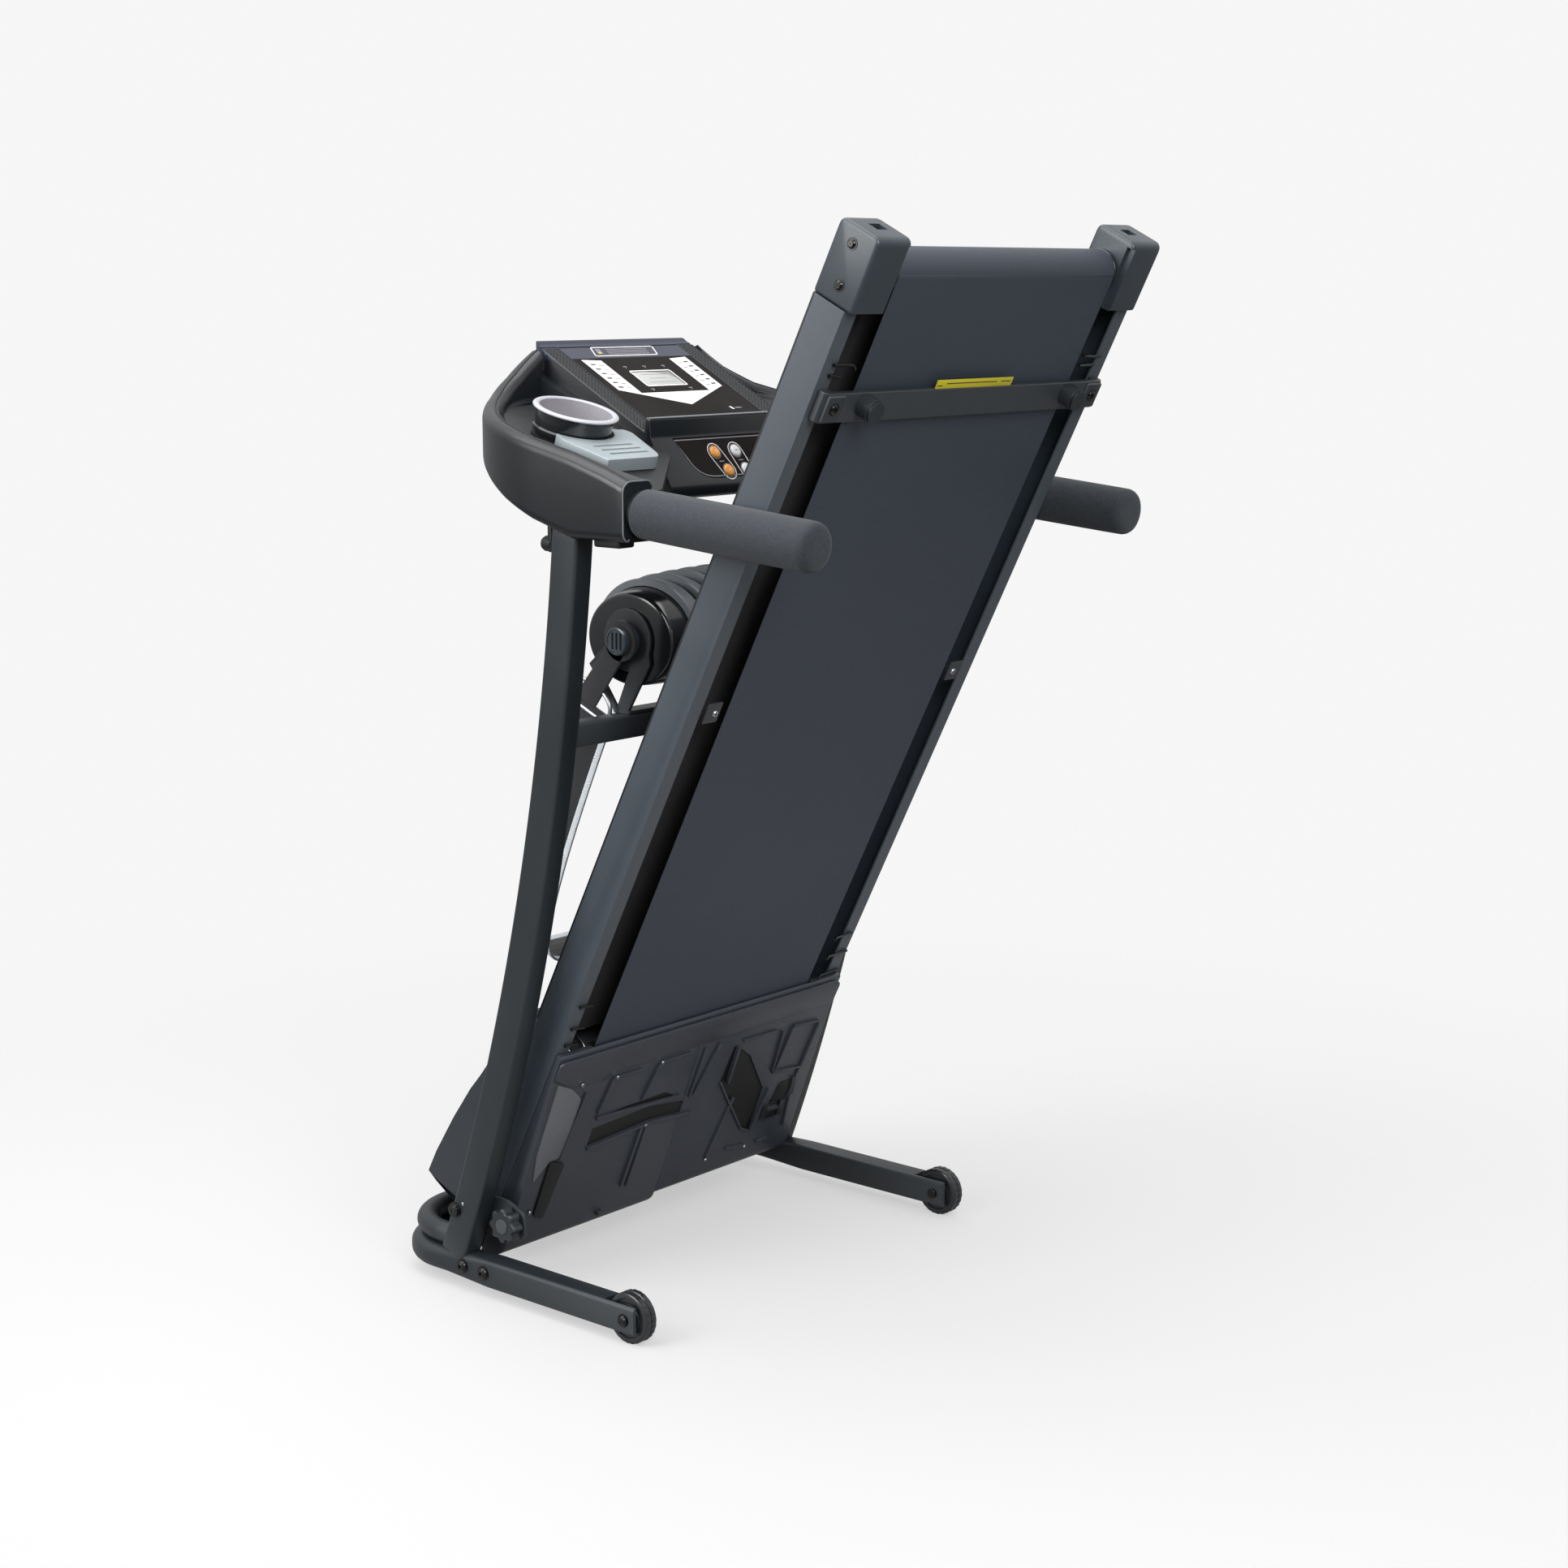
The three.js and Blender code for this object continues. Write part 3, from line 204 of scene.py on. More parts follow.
# a paler copy of the pan plastic: painted highlight on the slanted face that catches the light
PAN_PAINTED_SHEEN = surface("pan_painted_sheen", (98, 99, 104), 0.4, grain=1300, bump=0.2)
HOOD = surface("hood_plastic", (42, 46, 52), 0.36, grain=1500, bump=0.2, coat=0.05)
CAP = surface("cap_plastic", (54, 61, 67), 0.34, grain=1500, bump=0.18, coat=0.08)
SILVER = surface("silver_paint", (158, 168, 172), 0.36, metal=0.25, grain=1600, bump=0.08)
CUP_RIM = surface("cup_rim", (182, 183, 190), 0.3, metal=0.1, grain=1500, bump=0.05)
# pale grey lining, set paler than its own colour to offset the shade inside the cup: partly painted
# light
CUP_IN = surface("cup_lining", (158, 155, 161), 0.45, grain=1500, bump=0.1)
RUBBER = surface("rubber", (24, 25, 27), 0.7, grain=1100, bump=0.3, specular=0.35)
FOAM = surface("foam", (53, 57, 62), 0.92, bump=0.8, mottle=0.3, patches=160,
               specular=0.25, sheen=0.12, height=cells(0.0011))
BELT = surface("belt_back", (54, 61, 71), 0.52, bump=0.35, mottle=0.1, patches=3,
               height=weave(0.0009))
WEB = surface("webbing", (26, 27, 30), 0.8, bump=0.6, sheen=0.2, height=weave(0.0016))
WEB_EDGE = surface("webbing_edge", (205, 210, 215), 0.5, bump=0.5, height=weave(0.0012))
OVERLAY = surface("printed_brown", (13, 8, 6), 0.5, bump=0.04, mottle=0.1, specular=0.12)
KEYFACE = surface("printed_maroon", (17, 9, 9), 0.5, bump=0.04, mottle=0.1, specular=0.12)
PRINT = surface("printed_white", (232, 230, 228), 0.3, bump=0.03, mottle=0.03)
PRINT_GREY = surface("printed_grey", (128, 124, 132), 0.35, bump=0.03, mottle=0.05)
PRINT_BLUE = surface("printed_blue", (44, 47, 66), 0.3, bump=0.03, mottle=0.05)
PRINT_DARK = surface("printed_dark", (56, 52, 54), 0.35, bump=0.03, mottle=0.05)
GLASS = surface("lcd_film", (178, 180, 178), 0.18, bump=0.02, mottle=0.04, coat=0.5)
ORANGE = surface("orange_key", (232, 150, 36), 0.22, bump=0.03, mottle=0.08, coat=0.4)
WHITE = surface("white_key", (224, 226, 226), 0.22, bump=0.03, mottle=0.04, coat=0.4)
RED = surface("red_plastic", (196, 40, 28), 0.3, bump=0.05, mottle=0.06, coat=0.3)
YELLOW = surface("yellow_strip", (196, 184, 36), 0.4, bump=0.05, mottle=0.08)
WOOD = surface("deck_board", (44, 44, 46), 0.7, grain=400, bump=0.3)
ENAMEL = surface("motor_enamel", (24, 25, 28), 0.35, grain=900, bump=0.15, edge_rub_and_glint=0.2)
PAD_GREY = surface("pad_plastic", (104, 109, 114), 0.42, grain=1500, bump=0.2)
GLOSS = surface("gloss_black", (20, 22, 25), 0.16, grain=1500, bump=0.04, coat=0.5)
HUB = surface("hub_plastic", (58, 65, 72), 0.22, grain=1200, bump=0.06, coat=0.4)
WHEEL = surface("wheel_plastic", (30, 33, 36), 0.28, grain=1200, bump=0.1, coat=0.3)

# ---- mesh helpers ------------------------------------------------------------------------


def solid(vertices, faces):
    mesh = bmesh.new()
    made = [mesh.verts.new(v) for v in vertices]
    for face in faces:
        mesh.faces.new([made[k] for k in face])
    bmesh.ops.recalc_face_normals(mesh, faces=mesh.faces)
    return mesh


def soften(mesh, width, segments=2, angle=30):
    """Rounds every edge sharper than angle."""
    sharp = [e for e in mesh.edges if len(e.link_faces) == 2
             and e.calc_face_angle(0) > radians(angle)]
    bmesh.ops.bevel(mesh, geom=sharp, offset=width, segments=segments, profile=0.5,
                    affect="EDGES", clamp_overlap=True)
    return mesh


def loft(rings, closed=True):
    """A skin over rings with the same number of points, capped at both ends."""
    n = len(rings[0])
    vertices = [p for ring in rings for p in ring]
    faces = []
    for i in range(len(rings) - 1):
        for j in range(n):
            k = (j + 1) % n
            faces.append((i * n + j, i * n + k, (i + 1) * n + k, (i + 1) * n + j))
    if closed:
        faces.append(tuple(range(n))[::-1])
        faces.append(tuple(range((len(rings) - 1) * n, len(rings) * n)))
    return solid(vertices, faces)


def prism(points, x0, x1, width=0.0, segments=2):
    """An outline in Y and Z pushed along X."""
    mesh = loft([[(x, y, z) for y, z in points] for x in (x0, x1)])
    return soften(mesh, width, segments) if width else mesh


def plate(points, z0, z1, width=0.0, segments=2):
    """An outline in X and Y pushed along Z."""
    mesh = loft([[(x, y, z) for x, y in points] for z in (z0, z1)])
    return soften(mesh, width, segments) if width else mesh


def oblong(x0, x1, y0, y1):
    return [(x0, y0), (x1, y0), (x1, y1), (x0, y1)]


def block(x0, x1, y0, y1, z0, z1, width=0.0, segments=2):
    return plate(oblong(x0, x1, y0, y1), z0, z1, width, segments)


def turned(profile, sides=48, closed=True):
    """A profile of radius and height turned round Z. Radius 0 makes a pole."""
    vertices, rows = [], []
    for r, z in profile:
        if r < 1e-6:
            rows.append([len(vertices)])
            vertices.append((0, 0, z))
        else:
            rows.append(list(range(len(vertices), len(vertices) + sides)))
            vertices += [(r * cos(2 * pi * k / sides),
                          r * sin(2 * pi * k / sides), z) for k in range(sides)]
    faces = []
    pairs = list(zip(rows, rows[1:] + (rows[:1] if closed else [])))
    for a, b in pairs:
        if len(a) == 1 and len(b) == 1:
            continue
        for k in range(sides):
            j = (k + 1) % sides
            quad = [a[k % len(a)], a[j % len(a)], b[j % len(b)], b[k % len(b)]]
            faces.append(tuple(dict.fromkeys(quad)))
    return solid(vertices, faces)


def pin(r, z0, z1, sides=40):
    """A cylinder on Z."""
    return turned([(0, z0), (r, z0), (r, z1), (0, z1)], sides, closed=False)


def steps_to(end, count):
    """count + 1 even steps from 0 to end."""
    return [end * k / count for k in range(count + 1)]


def rounded(w, h, r, steps=4):
    """A rounded oblong round the origin, as points."""
    points = []
    for cx, cy, a0 in ((w / 2 - r, h / 2 - r, 0), (r - w / 2, h / 2 - r, 90),
                       (r - w / 2, r - h / 2, 180), (w / 2 - r, r - h / 2, 270)):
        for k in range(steps + 1):
            a = radians(a0 + 90 * k / steps)
            points.append((cx + r * cos(a), cy + r * sin(a)))
    return points


def circle(r, count=20):
    return [(r * cos(2 * pi * k / count), r * sin(2 * pi * k / count))
            for k in range(count)]


def both_ways(path):
    """A path from the right side, carried on through its mirror image."""
    return path + [Vector((-p.x, p.y, p.z)) for p in reversed(path)]


def sweep(path, section, side=Vector((1, 0, 0)), caps=True):
    """A section, or section(point), carried along a path: its first axis follows side as
    nearly as it can."""
    rings = []
    for k, point in enumerate(path):
        ahead = (path[min(k + 1, len(path) - 1)] - path[max(k - 1, 0)]).normalized()
        second = ahead.cross(side).normalized()
        first = second.cross(ahead).normalized()
        shape = section(point) if callable(section) else section
        rings.append([point + first * a + second * b for a, b in shape])
    return loft(rings, caps)


def moved(mesh, matrix):
    bmesh.ops.transform(mesh, matrix=matrix, verts=mesh.verts)
    if matrix.to_3x3().determinant() < 0:
        bmesh.ops.reverse_faces(mesh, faces=mesh.faces)
    return mesh


def at(x, y, z):
    return Matrix.Translation((x, y, z))


FACING_X = Matrix.Rotation(pi / 2, 4, "Y")
FACING_Y = Matrix.Rotation(-pi / 2, 4, "X")
FACING_DOWN = Matrix.Rotation(pi, 4, "X")


def piece(name, parts, body, place=MM, mirror=False, smooth=38, replaces=()):
    """One object from (mesh, material) parts, riding on a CAD body."""
    materials, joined = [], bmesh.new()
    data = bpy.data.meshes.new(name)
    for mesh, material in parts:
        if material not in materials:
            materials.append(material)
        for face in mesh.faces:
            face.material_index = materials.index(material)
        mesh.to_mesh(data)
        joined.from_mesh(data)
        mesh.free()
    if mirror:
        moved(joined, MIRROR)
    moved(joined, place)
    joined.to_mesh(data)
    joined.free()
    for material in materials:
        data.materials.append(material)
    data.shade_smooth()
    data.set_sharp_from_angle(angle=radians(smooth))
    made = added(name, data)
    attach(made, body)
    if replaces:
        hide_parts(*replaces)
    return made


def keep(node, material, width=0.0, segments=2):
    """A CAD node that stays: its material, and rounded edges, width in millimetres."""
    shown = NODES[node]
    shown.data.materials.clear()
    shown.data.materials.append(material)
    weld = shown.modifiers.new("weld", "WELD")
    weld.merge_threshold = 0.00005
    if width:
        bevel = shown.modifiers.new("bevel", "BEVEL")
        bevel.width = width * 0.001
        bevel.segments = segments
        bevel.limit_method = "ANGLE"
        bevel.angle_limit = radians(40)
    shown.data.shade_smooth()
    shown.data.set_sharp_from_angle(angle=radians(38))
    normals = shown.modifiers.new("normals", "WEIGHTED_NORMAL")
    normals.keep_sharp = True


def keep_pair(node, material, width=0.0, segments=2):
    for side, _ in SIDES:
        keep(f"{side}_{node}", material, width, segments)


def dome_bolt(r=7.5, h=4.5, socket=3.0):
    """A button-head bolt on Z with a hexagon socket, its seat at Z 0."""
    head = turned([(0, 0), (r, 0), (r, 1.0), (r * 0.9, h * 0.6), (r * 0.62, h), (socket, h),
                   (socket, h - 2), (0, h - 2)], 28, closed=False)
    return [(head, BOLT), (pin(r + 1.5, -0.2, 0.8, 28), BOLT)]


def sided(place, sign):
    """A place on the right, or its mirror image on the left."""
    return place if sign > 0 else MIRROR @ place


def placed(parts, matrix):
    return [(moved(mesh, matrix), material) for mesh, material in parts]


# ---- camera, floor and light -------------------------------------------------------------


def camera():
    data = bpy.data.cameras.new("camera")
    data.sensor_width = SENSOR
    data.lens = LENS
    seen = added("camera", data)
    level = cos(CAMERA_ELEVATION)
    back = Vector((sin(CAMERA_AZIMUTH) * level, -cos(CAMERA_AZIMUTH) * level,
                   sin(CAMERA_ELEVATION)))
    seen.location = CAMERA_AT
    seen.rotation_mode = "QUATERNION"
    seen.rotation_quaternion = (-back).to_track_quat("-Z", "Y")
    bpy.context.scene.camera = seen


def stage(name, mesh):
    """A piece of the surroundings, and the nodes of its material."""
    data = bpy.data.meshes.new(name)
    mesh.to_mesh(data)
    mesh.free()
    material = bpy.data.materials.new(name)
    material.use_nodes = True
    data.materials.append(material)
    made = added(name, data)
    return made, Nodes(material.node_tree)


def floor():
    """A pale floor that fades into the background a few metres out."""
    mesh = bmesh.new()
    bmesh.ops.create_circle(mesh, cap_ends=True, segments=96, radius=STAGE_RADIUS)
    _, nodes = stage("floor", mesh)
    where = nodes.add("ShaderNodeTexCoord").outputs["Object"]
    far = nodes.add("ShaderNodeVectorMath", {0: where}, operation="LENGTH").outputs["Value"]
    fade = nodes.spread(far, 0.5, 2.0, 0.45, 0.0, interpolation_type="SMOOTHSTEP")
    shader = nodes.tree.nodes["Principled BSDF"]
    shader.inputs["Base Color"].default_value = (0.60, 0.60, 0.60, 1)
    shader.inputs["Roughness"].default_value = 0.9
    shader.inputs["Specular IOR Level"].default_value = 0.1
    nodes.tree.links.new(fade, shader.inputs["Alpha"])


def backdrop():
    """A pale surround that only the camera sees."""
    mesh = bmesh.new()
    bmesh.ops.create_uvsphere(mesh, u_segments=48, v_segments=24, radius=BACKDROP_RADIUS)
    shell, nodes = stage("backdrop", mesh)
    glow = nodes.add("ShaderNodeEmission", {"Color": PALE})
    output = nodes.tree.nodes["Material Output"]
    nodes.tree.links.new(glow.outputs[0], output.inputs["Surface"])
    for rays in ("diffuse", "glossy", "transmission", "volume_scatter", "shadow"):
        setattr(shell, f"visible_{rays}", False)


def softbox(name, place, aim, size, power):
    data = bpy.data.lights.new(name, "AREA")
    data.shape = "RECTANGLE"
    data.size, data.size_y = size
    data.energy = power
    lamp = added(name, data)
    lamp.location = place
    lamp.rotation_mode = "QUATERNION"
    lamp.rotation_quaternion = (Vector(aim) - Vector(place)).to_track_quat("-Z", "Y")


def light():
    world = bpy.data.worlds.new("world")
    bpy.context.scene.world = world
    world.use_nodes = True
    background = world.node_tree.nodes["Background"]
    nodes = Nodes(world.node_tree)
    toward = nodes.add("ShaderNodeTexCoord").outputs["Generated"]
    height = nodes.add("ShaderNodeSeparateXYZ", {0: toward}).outputs["Z"]
    glow = nodes.spread(height, -0.6, 0.8, 0.12, 0.85, interpolation_type="SMOOTHSTEP")
    world.node_tree.links.new(glow, background.inputs["Strength"])
    background.inputs["Color"].default_value = (1, 1, 1, 1)
    softbox("overhead", (-0.5, 0.3, 3.6), (0, 0, 0.6), (3.0, 3.0), 70)
    softbox("left", (-3.0, 1.0, 2.2), (0, 0, 1.0), (2.0, 2.0), 85)
    softbox("back", (-1.2, -2.3, 2.1), (0, -0.3, 1.1), (1.2, 1.2), 40)
    bpy.context.scene.view_settings.view_transform = "Standard"


camera()
floor()
backdrop()
light()

# ---- more shaping ------------------------------------------------------------------------


def carve(mesh, *cutters):
    """Cuts closed meshes out of a closed mesh."""
    made = []
    for k, part in enumerate((mesh, *cutters)):
        data = bpy.data.meshes.new("carving")
        part.to_mesh(data)
        part.free()
        made.append(added(f"carving_{k}", data))
    body, *tools = made
    for tool in tools:
        cut = body.modifiers.new("cut", "BOOLEAN")
        cut.operation, cut.solver, cut.object = "DIFFERENCE", "EXACT", tool
    bpy.context.view_layer.update()
    shown = body.evaluated_get(bpy.context.evaluated_depsgraph_get())
    result = bmesh.new()
    result.from_mesh(shown.to_mesh())
    shown.to_mesh_clear()
    for part in made:
        data = part.data
        bpy.data.objects.remove(part)
        bpy.data.meshes.remove(data)
    bmesh.ops.remove_doubles(result, verts=result.verts, dist=0.002)
    bmesh.ops.dissolve_limit(result, angle_limit=radians(0.5), verts=result.verts,
                             edges=result.edges)
    return result


def filleted(points, radius, steps=4):
    """The same outline with its corners rounded. radius is one number or one for each corner."""
    result = []
    n = len(points)
    for k, point in enumerate(points):
        p, before, after = Vector(point), Vector(points[k - 1]), Vector(points[(k + 1) % n])
        want = radius[k] if hasattr(radius, "__len__") else radius
        reach = min(want, (before - p).length * 0.48, (after - p).length * 0.48)
        if reach < 0.05:
            result.append(tuple(p))
            continue
        a = p + (before - p).normalized() * reach
        b = p + (after - p).normalized() * reach
        for i in range(steps + 1):
            t = i / steps
            result.append(tuple(a * (1 - t) ** 2 + p * 2 * t * (1 - t) + b * t ** 2))
    return result


def strip(points, width, z0, z1, closed=True):
    """A flat line of that width along an outline in X and Y."""
    n = len(points)
    rings = []
    for k, point in enumerate(points):
        p = Vector(point)
        before = Vector(points[k - 1] if closed or k else point)
        after = Vector(points[(k + 1) % n] if closed or k + 1 < n else point)
        ahead = (after - before).normalized()
        off = Vector((-ahead.y, ahead.x)) * width / 2
        a, b = p - off, p + off
        rings.append([(a.x, a.y, z0), (b.x, b.y, z0), (b.x, b.y, z1), (a.x, a.y, z1)])
    if closed:
        rings.append(rings[0])
    mesh = loft(rings, not closed)
    bmesh.ops.remove_doubles(mesh, verts=mesh.verts, dist=0.001)
    bmesh.ops.recalc_face_normals(mesh, faces=mesh.faces)
    return mesh


def rib(a, b, width, height, base=-1.0, soft=0.8):
    """A raised bar from a to b in X and Y."""
    a, b = Vector(a), Vector(b)
    ahead = (b - a).normalized()
    off = Vector((-ahead.y, ahead.x)) * width / 2
    return plate([tuple(v) for v in (a - off, b - off, b + off, a + off)], base, height, soft)


def rod(path, r, sides=12):
    return sweep([Vector(p) for p in path], circle(r, sides), side=Vector((0.3, 0.2, 0.93)))


def screw_parts(r, h, material):
    """A pan head with a cross slot, on Z."""
    head = turned([(0, -0.3), (r, -0.3), (r, h * 0.5), (r * 0.8, h), (0, h)], 24, closed=False)
    # the cross slot is not cut: thin dark marks on the head are painted shade
    slot = [block(-r * 0.6, r * 0.6, -r * 0.12, r * 0.12, h - 0.1, h + 0.05),
            block(-r * 0.12, r * 0.12, -r * 0.6, r * 0.6, h - 0.1, h + 0.05)]
    return [(head, material)] + [(mesh, PAN_DARK) for mesh in slot]


# ---- base and uprights -------------------------------------------------------------------

BASE_HALF, SLEEVE_W, SLEEVE_Z = 312, 32, 31
LEAN_LOW, LEAN_HIGH = radians(21.5), radians(4.7)
LEAN_RADIUS = (950 - 48) / (sin(LEAN_LOW) - sin(LEAN_HIGH))
UP_X, POST_LOW, POST_HIGH, CROSSBAR_Z = 297, 44, 952, 703
AXLE_Y = -39
LOCK_Y, LOCK_Z = 173, 93


def upright_y(z):
    lean = asin(sin(LEAN_LOW) - (z - 48) / LEAN_RADIUS)
    return 249 + LEAN_RADIUS * (cos(LEAN_LOW) - cos(lean))


def base_tube():
    """The flat tube bent round the front, its two ends slotted for the wheels."""
    corner, x = 64, BASE_HALF - SLEEVE_W / 2

    def section(point):
        t = min(1, max(0, (point.y - 190) / 75))
        return rounded(34, SLEEVE_W, 4.5 + 9.5 * t, 5)

    path = [Vector((x, y, SLEEVE_Z)) for y in (-55, 100, 190, 205, 220, 235, 250, 265)]
    y = 372 - SLEEVE_W / 2
    path += [Vector((x - corner + corner * cos(a), y - corner + corner * sin(a), SLEEVE_Z))
             for a in steps_to(pi / 2, 16)]
    tube = sweep(both_ways(path), section, side=Vector((0.001, 0, 1)))
    slots = [block(s * 296 - 11.5, s * 296 + 11.5, -60, -5, 0, 60) for s in (-1, 1)]
    return carve(tube, *slots)


def swept_flat(path, w, h, r, side=Vector((1, 0, 0))):
    return soften(sweep(path, rounded(w, h, r, 3), side=side), 0.8, 2, 60)


def base():
    piece("base_tube_shape", [(base_tube(), STEEL)], "base",
          replaces=("base_front_tube", "left_foot_tube", "right_foot_tube"))
    for side, sign in SIDES:
        path = [Vector((UP_X, upright_y(POST_LOW + up), POST_LOW + up))
                for up in steps_to(POST_HIGH - POST_LOW, 40)]
        post = sweep(path, rounded(30, 40, 4.5, 3))
        parts = [(soften(post, 0.8, 2, 60), STEEL)]
        if side == "left":
            lock_plate = filleted([(152, 76), (222, 66), (212, 120), (180, 120), (154, 108)], 8, 4)
            parts.append((prism(lock_plate, 278.5, 282.5, 0.8), STEEL))
        piece(f"{side}_upright_shape", parts, "base", mirror=sign < 0,
              replaces=(f"{side}_upright",))
        bolts = []
        for y, z in ((231.4, 32.5), (195, 32.1)):
            bolts += placed(dome_bolt(7.8, 5.2, 2.2), at(BASE_HALF, y, z) @ FACING_X)
        bolts += placed(dome_bolt(8.4, 5.4, 2.2), at(BASE_HALF, PIVOT.y, PIVOT.z) @ FACING_X)
        bolts += placed(dome_bolt(6.5, 5.0, 0.5), at(BASE_HALF, AXLE_Y, SLEEVE_Z) @ FACING_X)
        dot = turned([(0, -0.2), (2.2, -0.2), (2.2, 0.3), (1.6, 0.7), (0, 0.7)], 20, closed=False)
        bolts.append((moved(dot, at(BASE_HALF, 229, 112) @ FACING_X), ZINC))
        piece(f"{side}_foot_bolts", bolts, "base", mirror=sign < 0)
        wheel(side, sign)
    keep_pair("wheel_axle", BOLT, 0.6)
    keep_pair("front_pad", RUBBER, 1.2)
    keep_pair("pivot_bolt", BOLT, 0.8)
    ends = [Vector((x, upright_y(CROSSBAR_Z), CROSSBAR_Z)) for x in (-281.7, 281.7)]
    cross = swept_flat(ends, 28, 28, 3.5, side=Vector((0, 1, 0)))
    piece("upright_crossbar_shape", [(cross, STEEL)], "base",
          replaces=("upright_crossbar",))
    bend, low = 80, 62
    loop = [Vector((UP_X, upright_y(low) + 8, low))]
    loop += [Vector((UP_X - bend + bend * cos(a), 277.6 + bend * sin(a), low))
             for a in steps_to(pi / 2, 16)]
    tube = sweep(both_ways(loop), circle(13.5, 28), side=Vector((0.001, 0, 1)))
    piece("front_loop_shape", [(tube, STEEL)], "base",
          replaces=("front_loop_tube",))


def wheel(side, sign):
    half = [(4.4, -9.5), (9, -9.5), (9.4, -8.6), (9.6, -7.5), (13, -7.5), (13.6, -9), (17, -9),
            (17.6, -7.5), (23, -7.5), (24, -9), (26, -9.5), (28.6, -9.3), (30, -8.2), (30.4, -6.5),
            (30.4, -1.6), (29.2, -0.8)]
    profile = half + [(r, -z) for r, z in reversed(half)]
    parts = [(turned(profile, 64), WHEEL)]
    for k in range(24):
        for row in (-1, 1):
            turn = Matrix.Rotation(2 * pi * (k + row / 4) / 24, 4, "Z")
            nub = block(28, 30.9, -2.4, 2.4, row * 4.6 - 3.2, row * 4.6 + 3.2, 0.7)
            parts.append((moved(nub, turn), WHEEL))
    piece(f"{side}_wheel_shape", parts, f"{side}_wheel",
          place=sided(MM @ at(UP_X - 1, AXLE_Y, SLEEVE_Z) @ FACING_X, sign),
          replaces=(f"{side}_transport_wheel",))


# ---- arms, cups and grips ----------------------------------------------------------------


def arm_ring(x, y, a, low, high, top, foot):
    ledge = max(min(tray_z(y) - 8, high - 12), low + 12)
    outline = [(7, low), (0, low + 7), (0, high - 10), (2, high - 5), (9, high), (top - 7, high),
               (top, high - 7), (top, ledge + 2), (foot, ledge), (foot, low + 7), (foot - 7, low)]
    return [(x - d * cos(a), y - d * sin(a), z) for d, z in filleted(outline, 6, 3)]


def arm_stations():
    """Sections of the arm's outer band, from the grip to the head: place, turn and shape."""
    rows = [(-63, 934, 1001, 50, 60), (-30, 934, 1013, 34, 60), (20, 934, 1028, 27, 58),
            (81, 952, 1042, 25, 46)]
    stations = []
    for (y0, *a), (y1, *b) in zip(rows, rows[1:]):
        count = max(2, round((y1 - y0) / 10))
        for k in range(count):
            t = k / count
            stations.append((325, y0 + t * (y1 - y0), 0, *(p + t * (q - p) for p, q in zip(a, b))))
    lows = (952, 970, 990, 1009, 1024, 1034, 1040)
    highs = (1042, 1053, 1063, 1073, 1086, 1107, 1135)
    tops, feet = (25,) * 7, (46, 34, 30, 30, 30, 30, 30)
    for k in range(25):
        t = k / 4
        i = min(int(t), 5)
        shape = (v[i] + (t - i) * (v[i + 1] - v[i]) for v in (lows, highs, tops, feet))
        a = radians(15 * t)
        stations.append((143 + 182 * cos(a), 81 + 182 * sin(a), a, *shape))
    return stations


def arm_band():
    return soften(loft([arm_ring(*station) for station in arm_stations()]), 2.0, 3, 60)


def arm_bead():
    """A thin raised line along the top of the band."""
    path = [Vector((x - 15 * cos(a), y - 15 * sin(a), high - 0.2))
            for x, y, a, _, high, _, _ in arm_stations()]
    return sweep(path, circle(1.3, 8), side=Vector((0.5, 0.1, 0.9)))


CUP_X, CUP_Y, CUP_RISE = 235, 103, 36
GRIP_SLOPE = radians(5.24)
GRIP_TURN = Matrix.Rotation(pi / 2 + GRIP_SLOPE, 4, "X")
GRIP_AT = at(294.4, -63.6, 965.5) @ GRIP_TURN


def arms():
    for side, sign in SIDES:
        floor_plan = [(136.3, -60), (262, -165), (300, -165), (306, 0), (290, 60), (262, 100),
                      (215, 128), (136.3, 140)]
        plan = plate(filleted(floor_plan, [0, 12, 6, 30, 30, 30, 20, 0], 5), -26, 0, 1.5)
        under = plate([(140, -56), (256, -150), (256, 90), (210, 122), (140, 134)], -31, -4)
        hole = moved(pin(45.6, -60, 60, 64), at(CUP_X, (CUP_Y - TRAY_Y) / cos(TRAY_SLOPE), 0))
        tray = carve(plan, under, hole)
        moved(tray, at(0, TRAY_Y, TRAY_Z) @ Matrix.Rotation(TRAY_SLOPE, 4, "X"))
        knob = turned([(0, 0), (9, 0), (9, 12), (7.5, 15), (0, 15)], 24, closed=False)
        moved(knob, at(297, 69, 924) @ FACING_Y)
        collar = turned([(13, -3), (24.5, -3), (25.5, -1.5), (25.5, 4), (24, 5), (13, 5)], 48)
        moved(collar, GRIP_AT)
        edge = [(7, 934), (0, 941), (0, 991), (2, 996), (9, 1001), (43, 1001), (50, 994)]
        line = sweep([Vector((323.9 - d, -63.3, z)) for d, z in filleted(edge, 6, 3)],
                     circle(0.9, 8), side=Vector((0, 1, 0)))
        shoulder = prism([(84, 1018), (84, 1032), (250, 1109), (264, 1109), (264, 1060)], 136.4, 152)
        parts = [(arm_band(), SHELL), (arm_bead(), TRAY), (shoulder, SHELL), (tray, TRAY),
                 (knob, BLACK), (collar, BLACK), (line, PAD_GREY),
                 (block(289, 305, 66, 73, 915, 962, 2), BLACK),
                 (block(284, 310, -44, -4, 926, 938, 3, 3), BLACK)]
        piece(f"{side}_arm_shape", parts, "base", mirror=sign < 0,
              replaces=(f"{side}_arm_shell",))
        cup(side, sign)
        hand_pad(side, sign)
        grip(side, sign)
    keep_pair("handle_tube", STEEL)


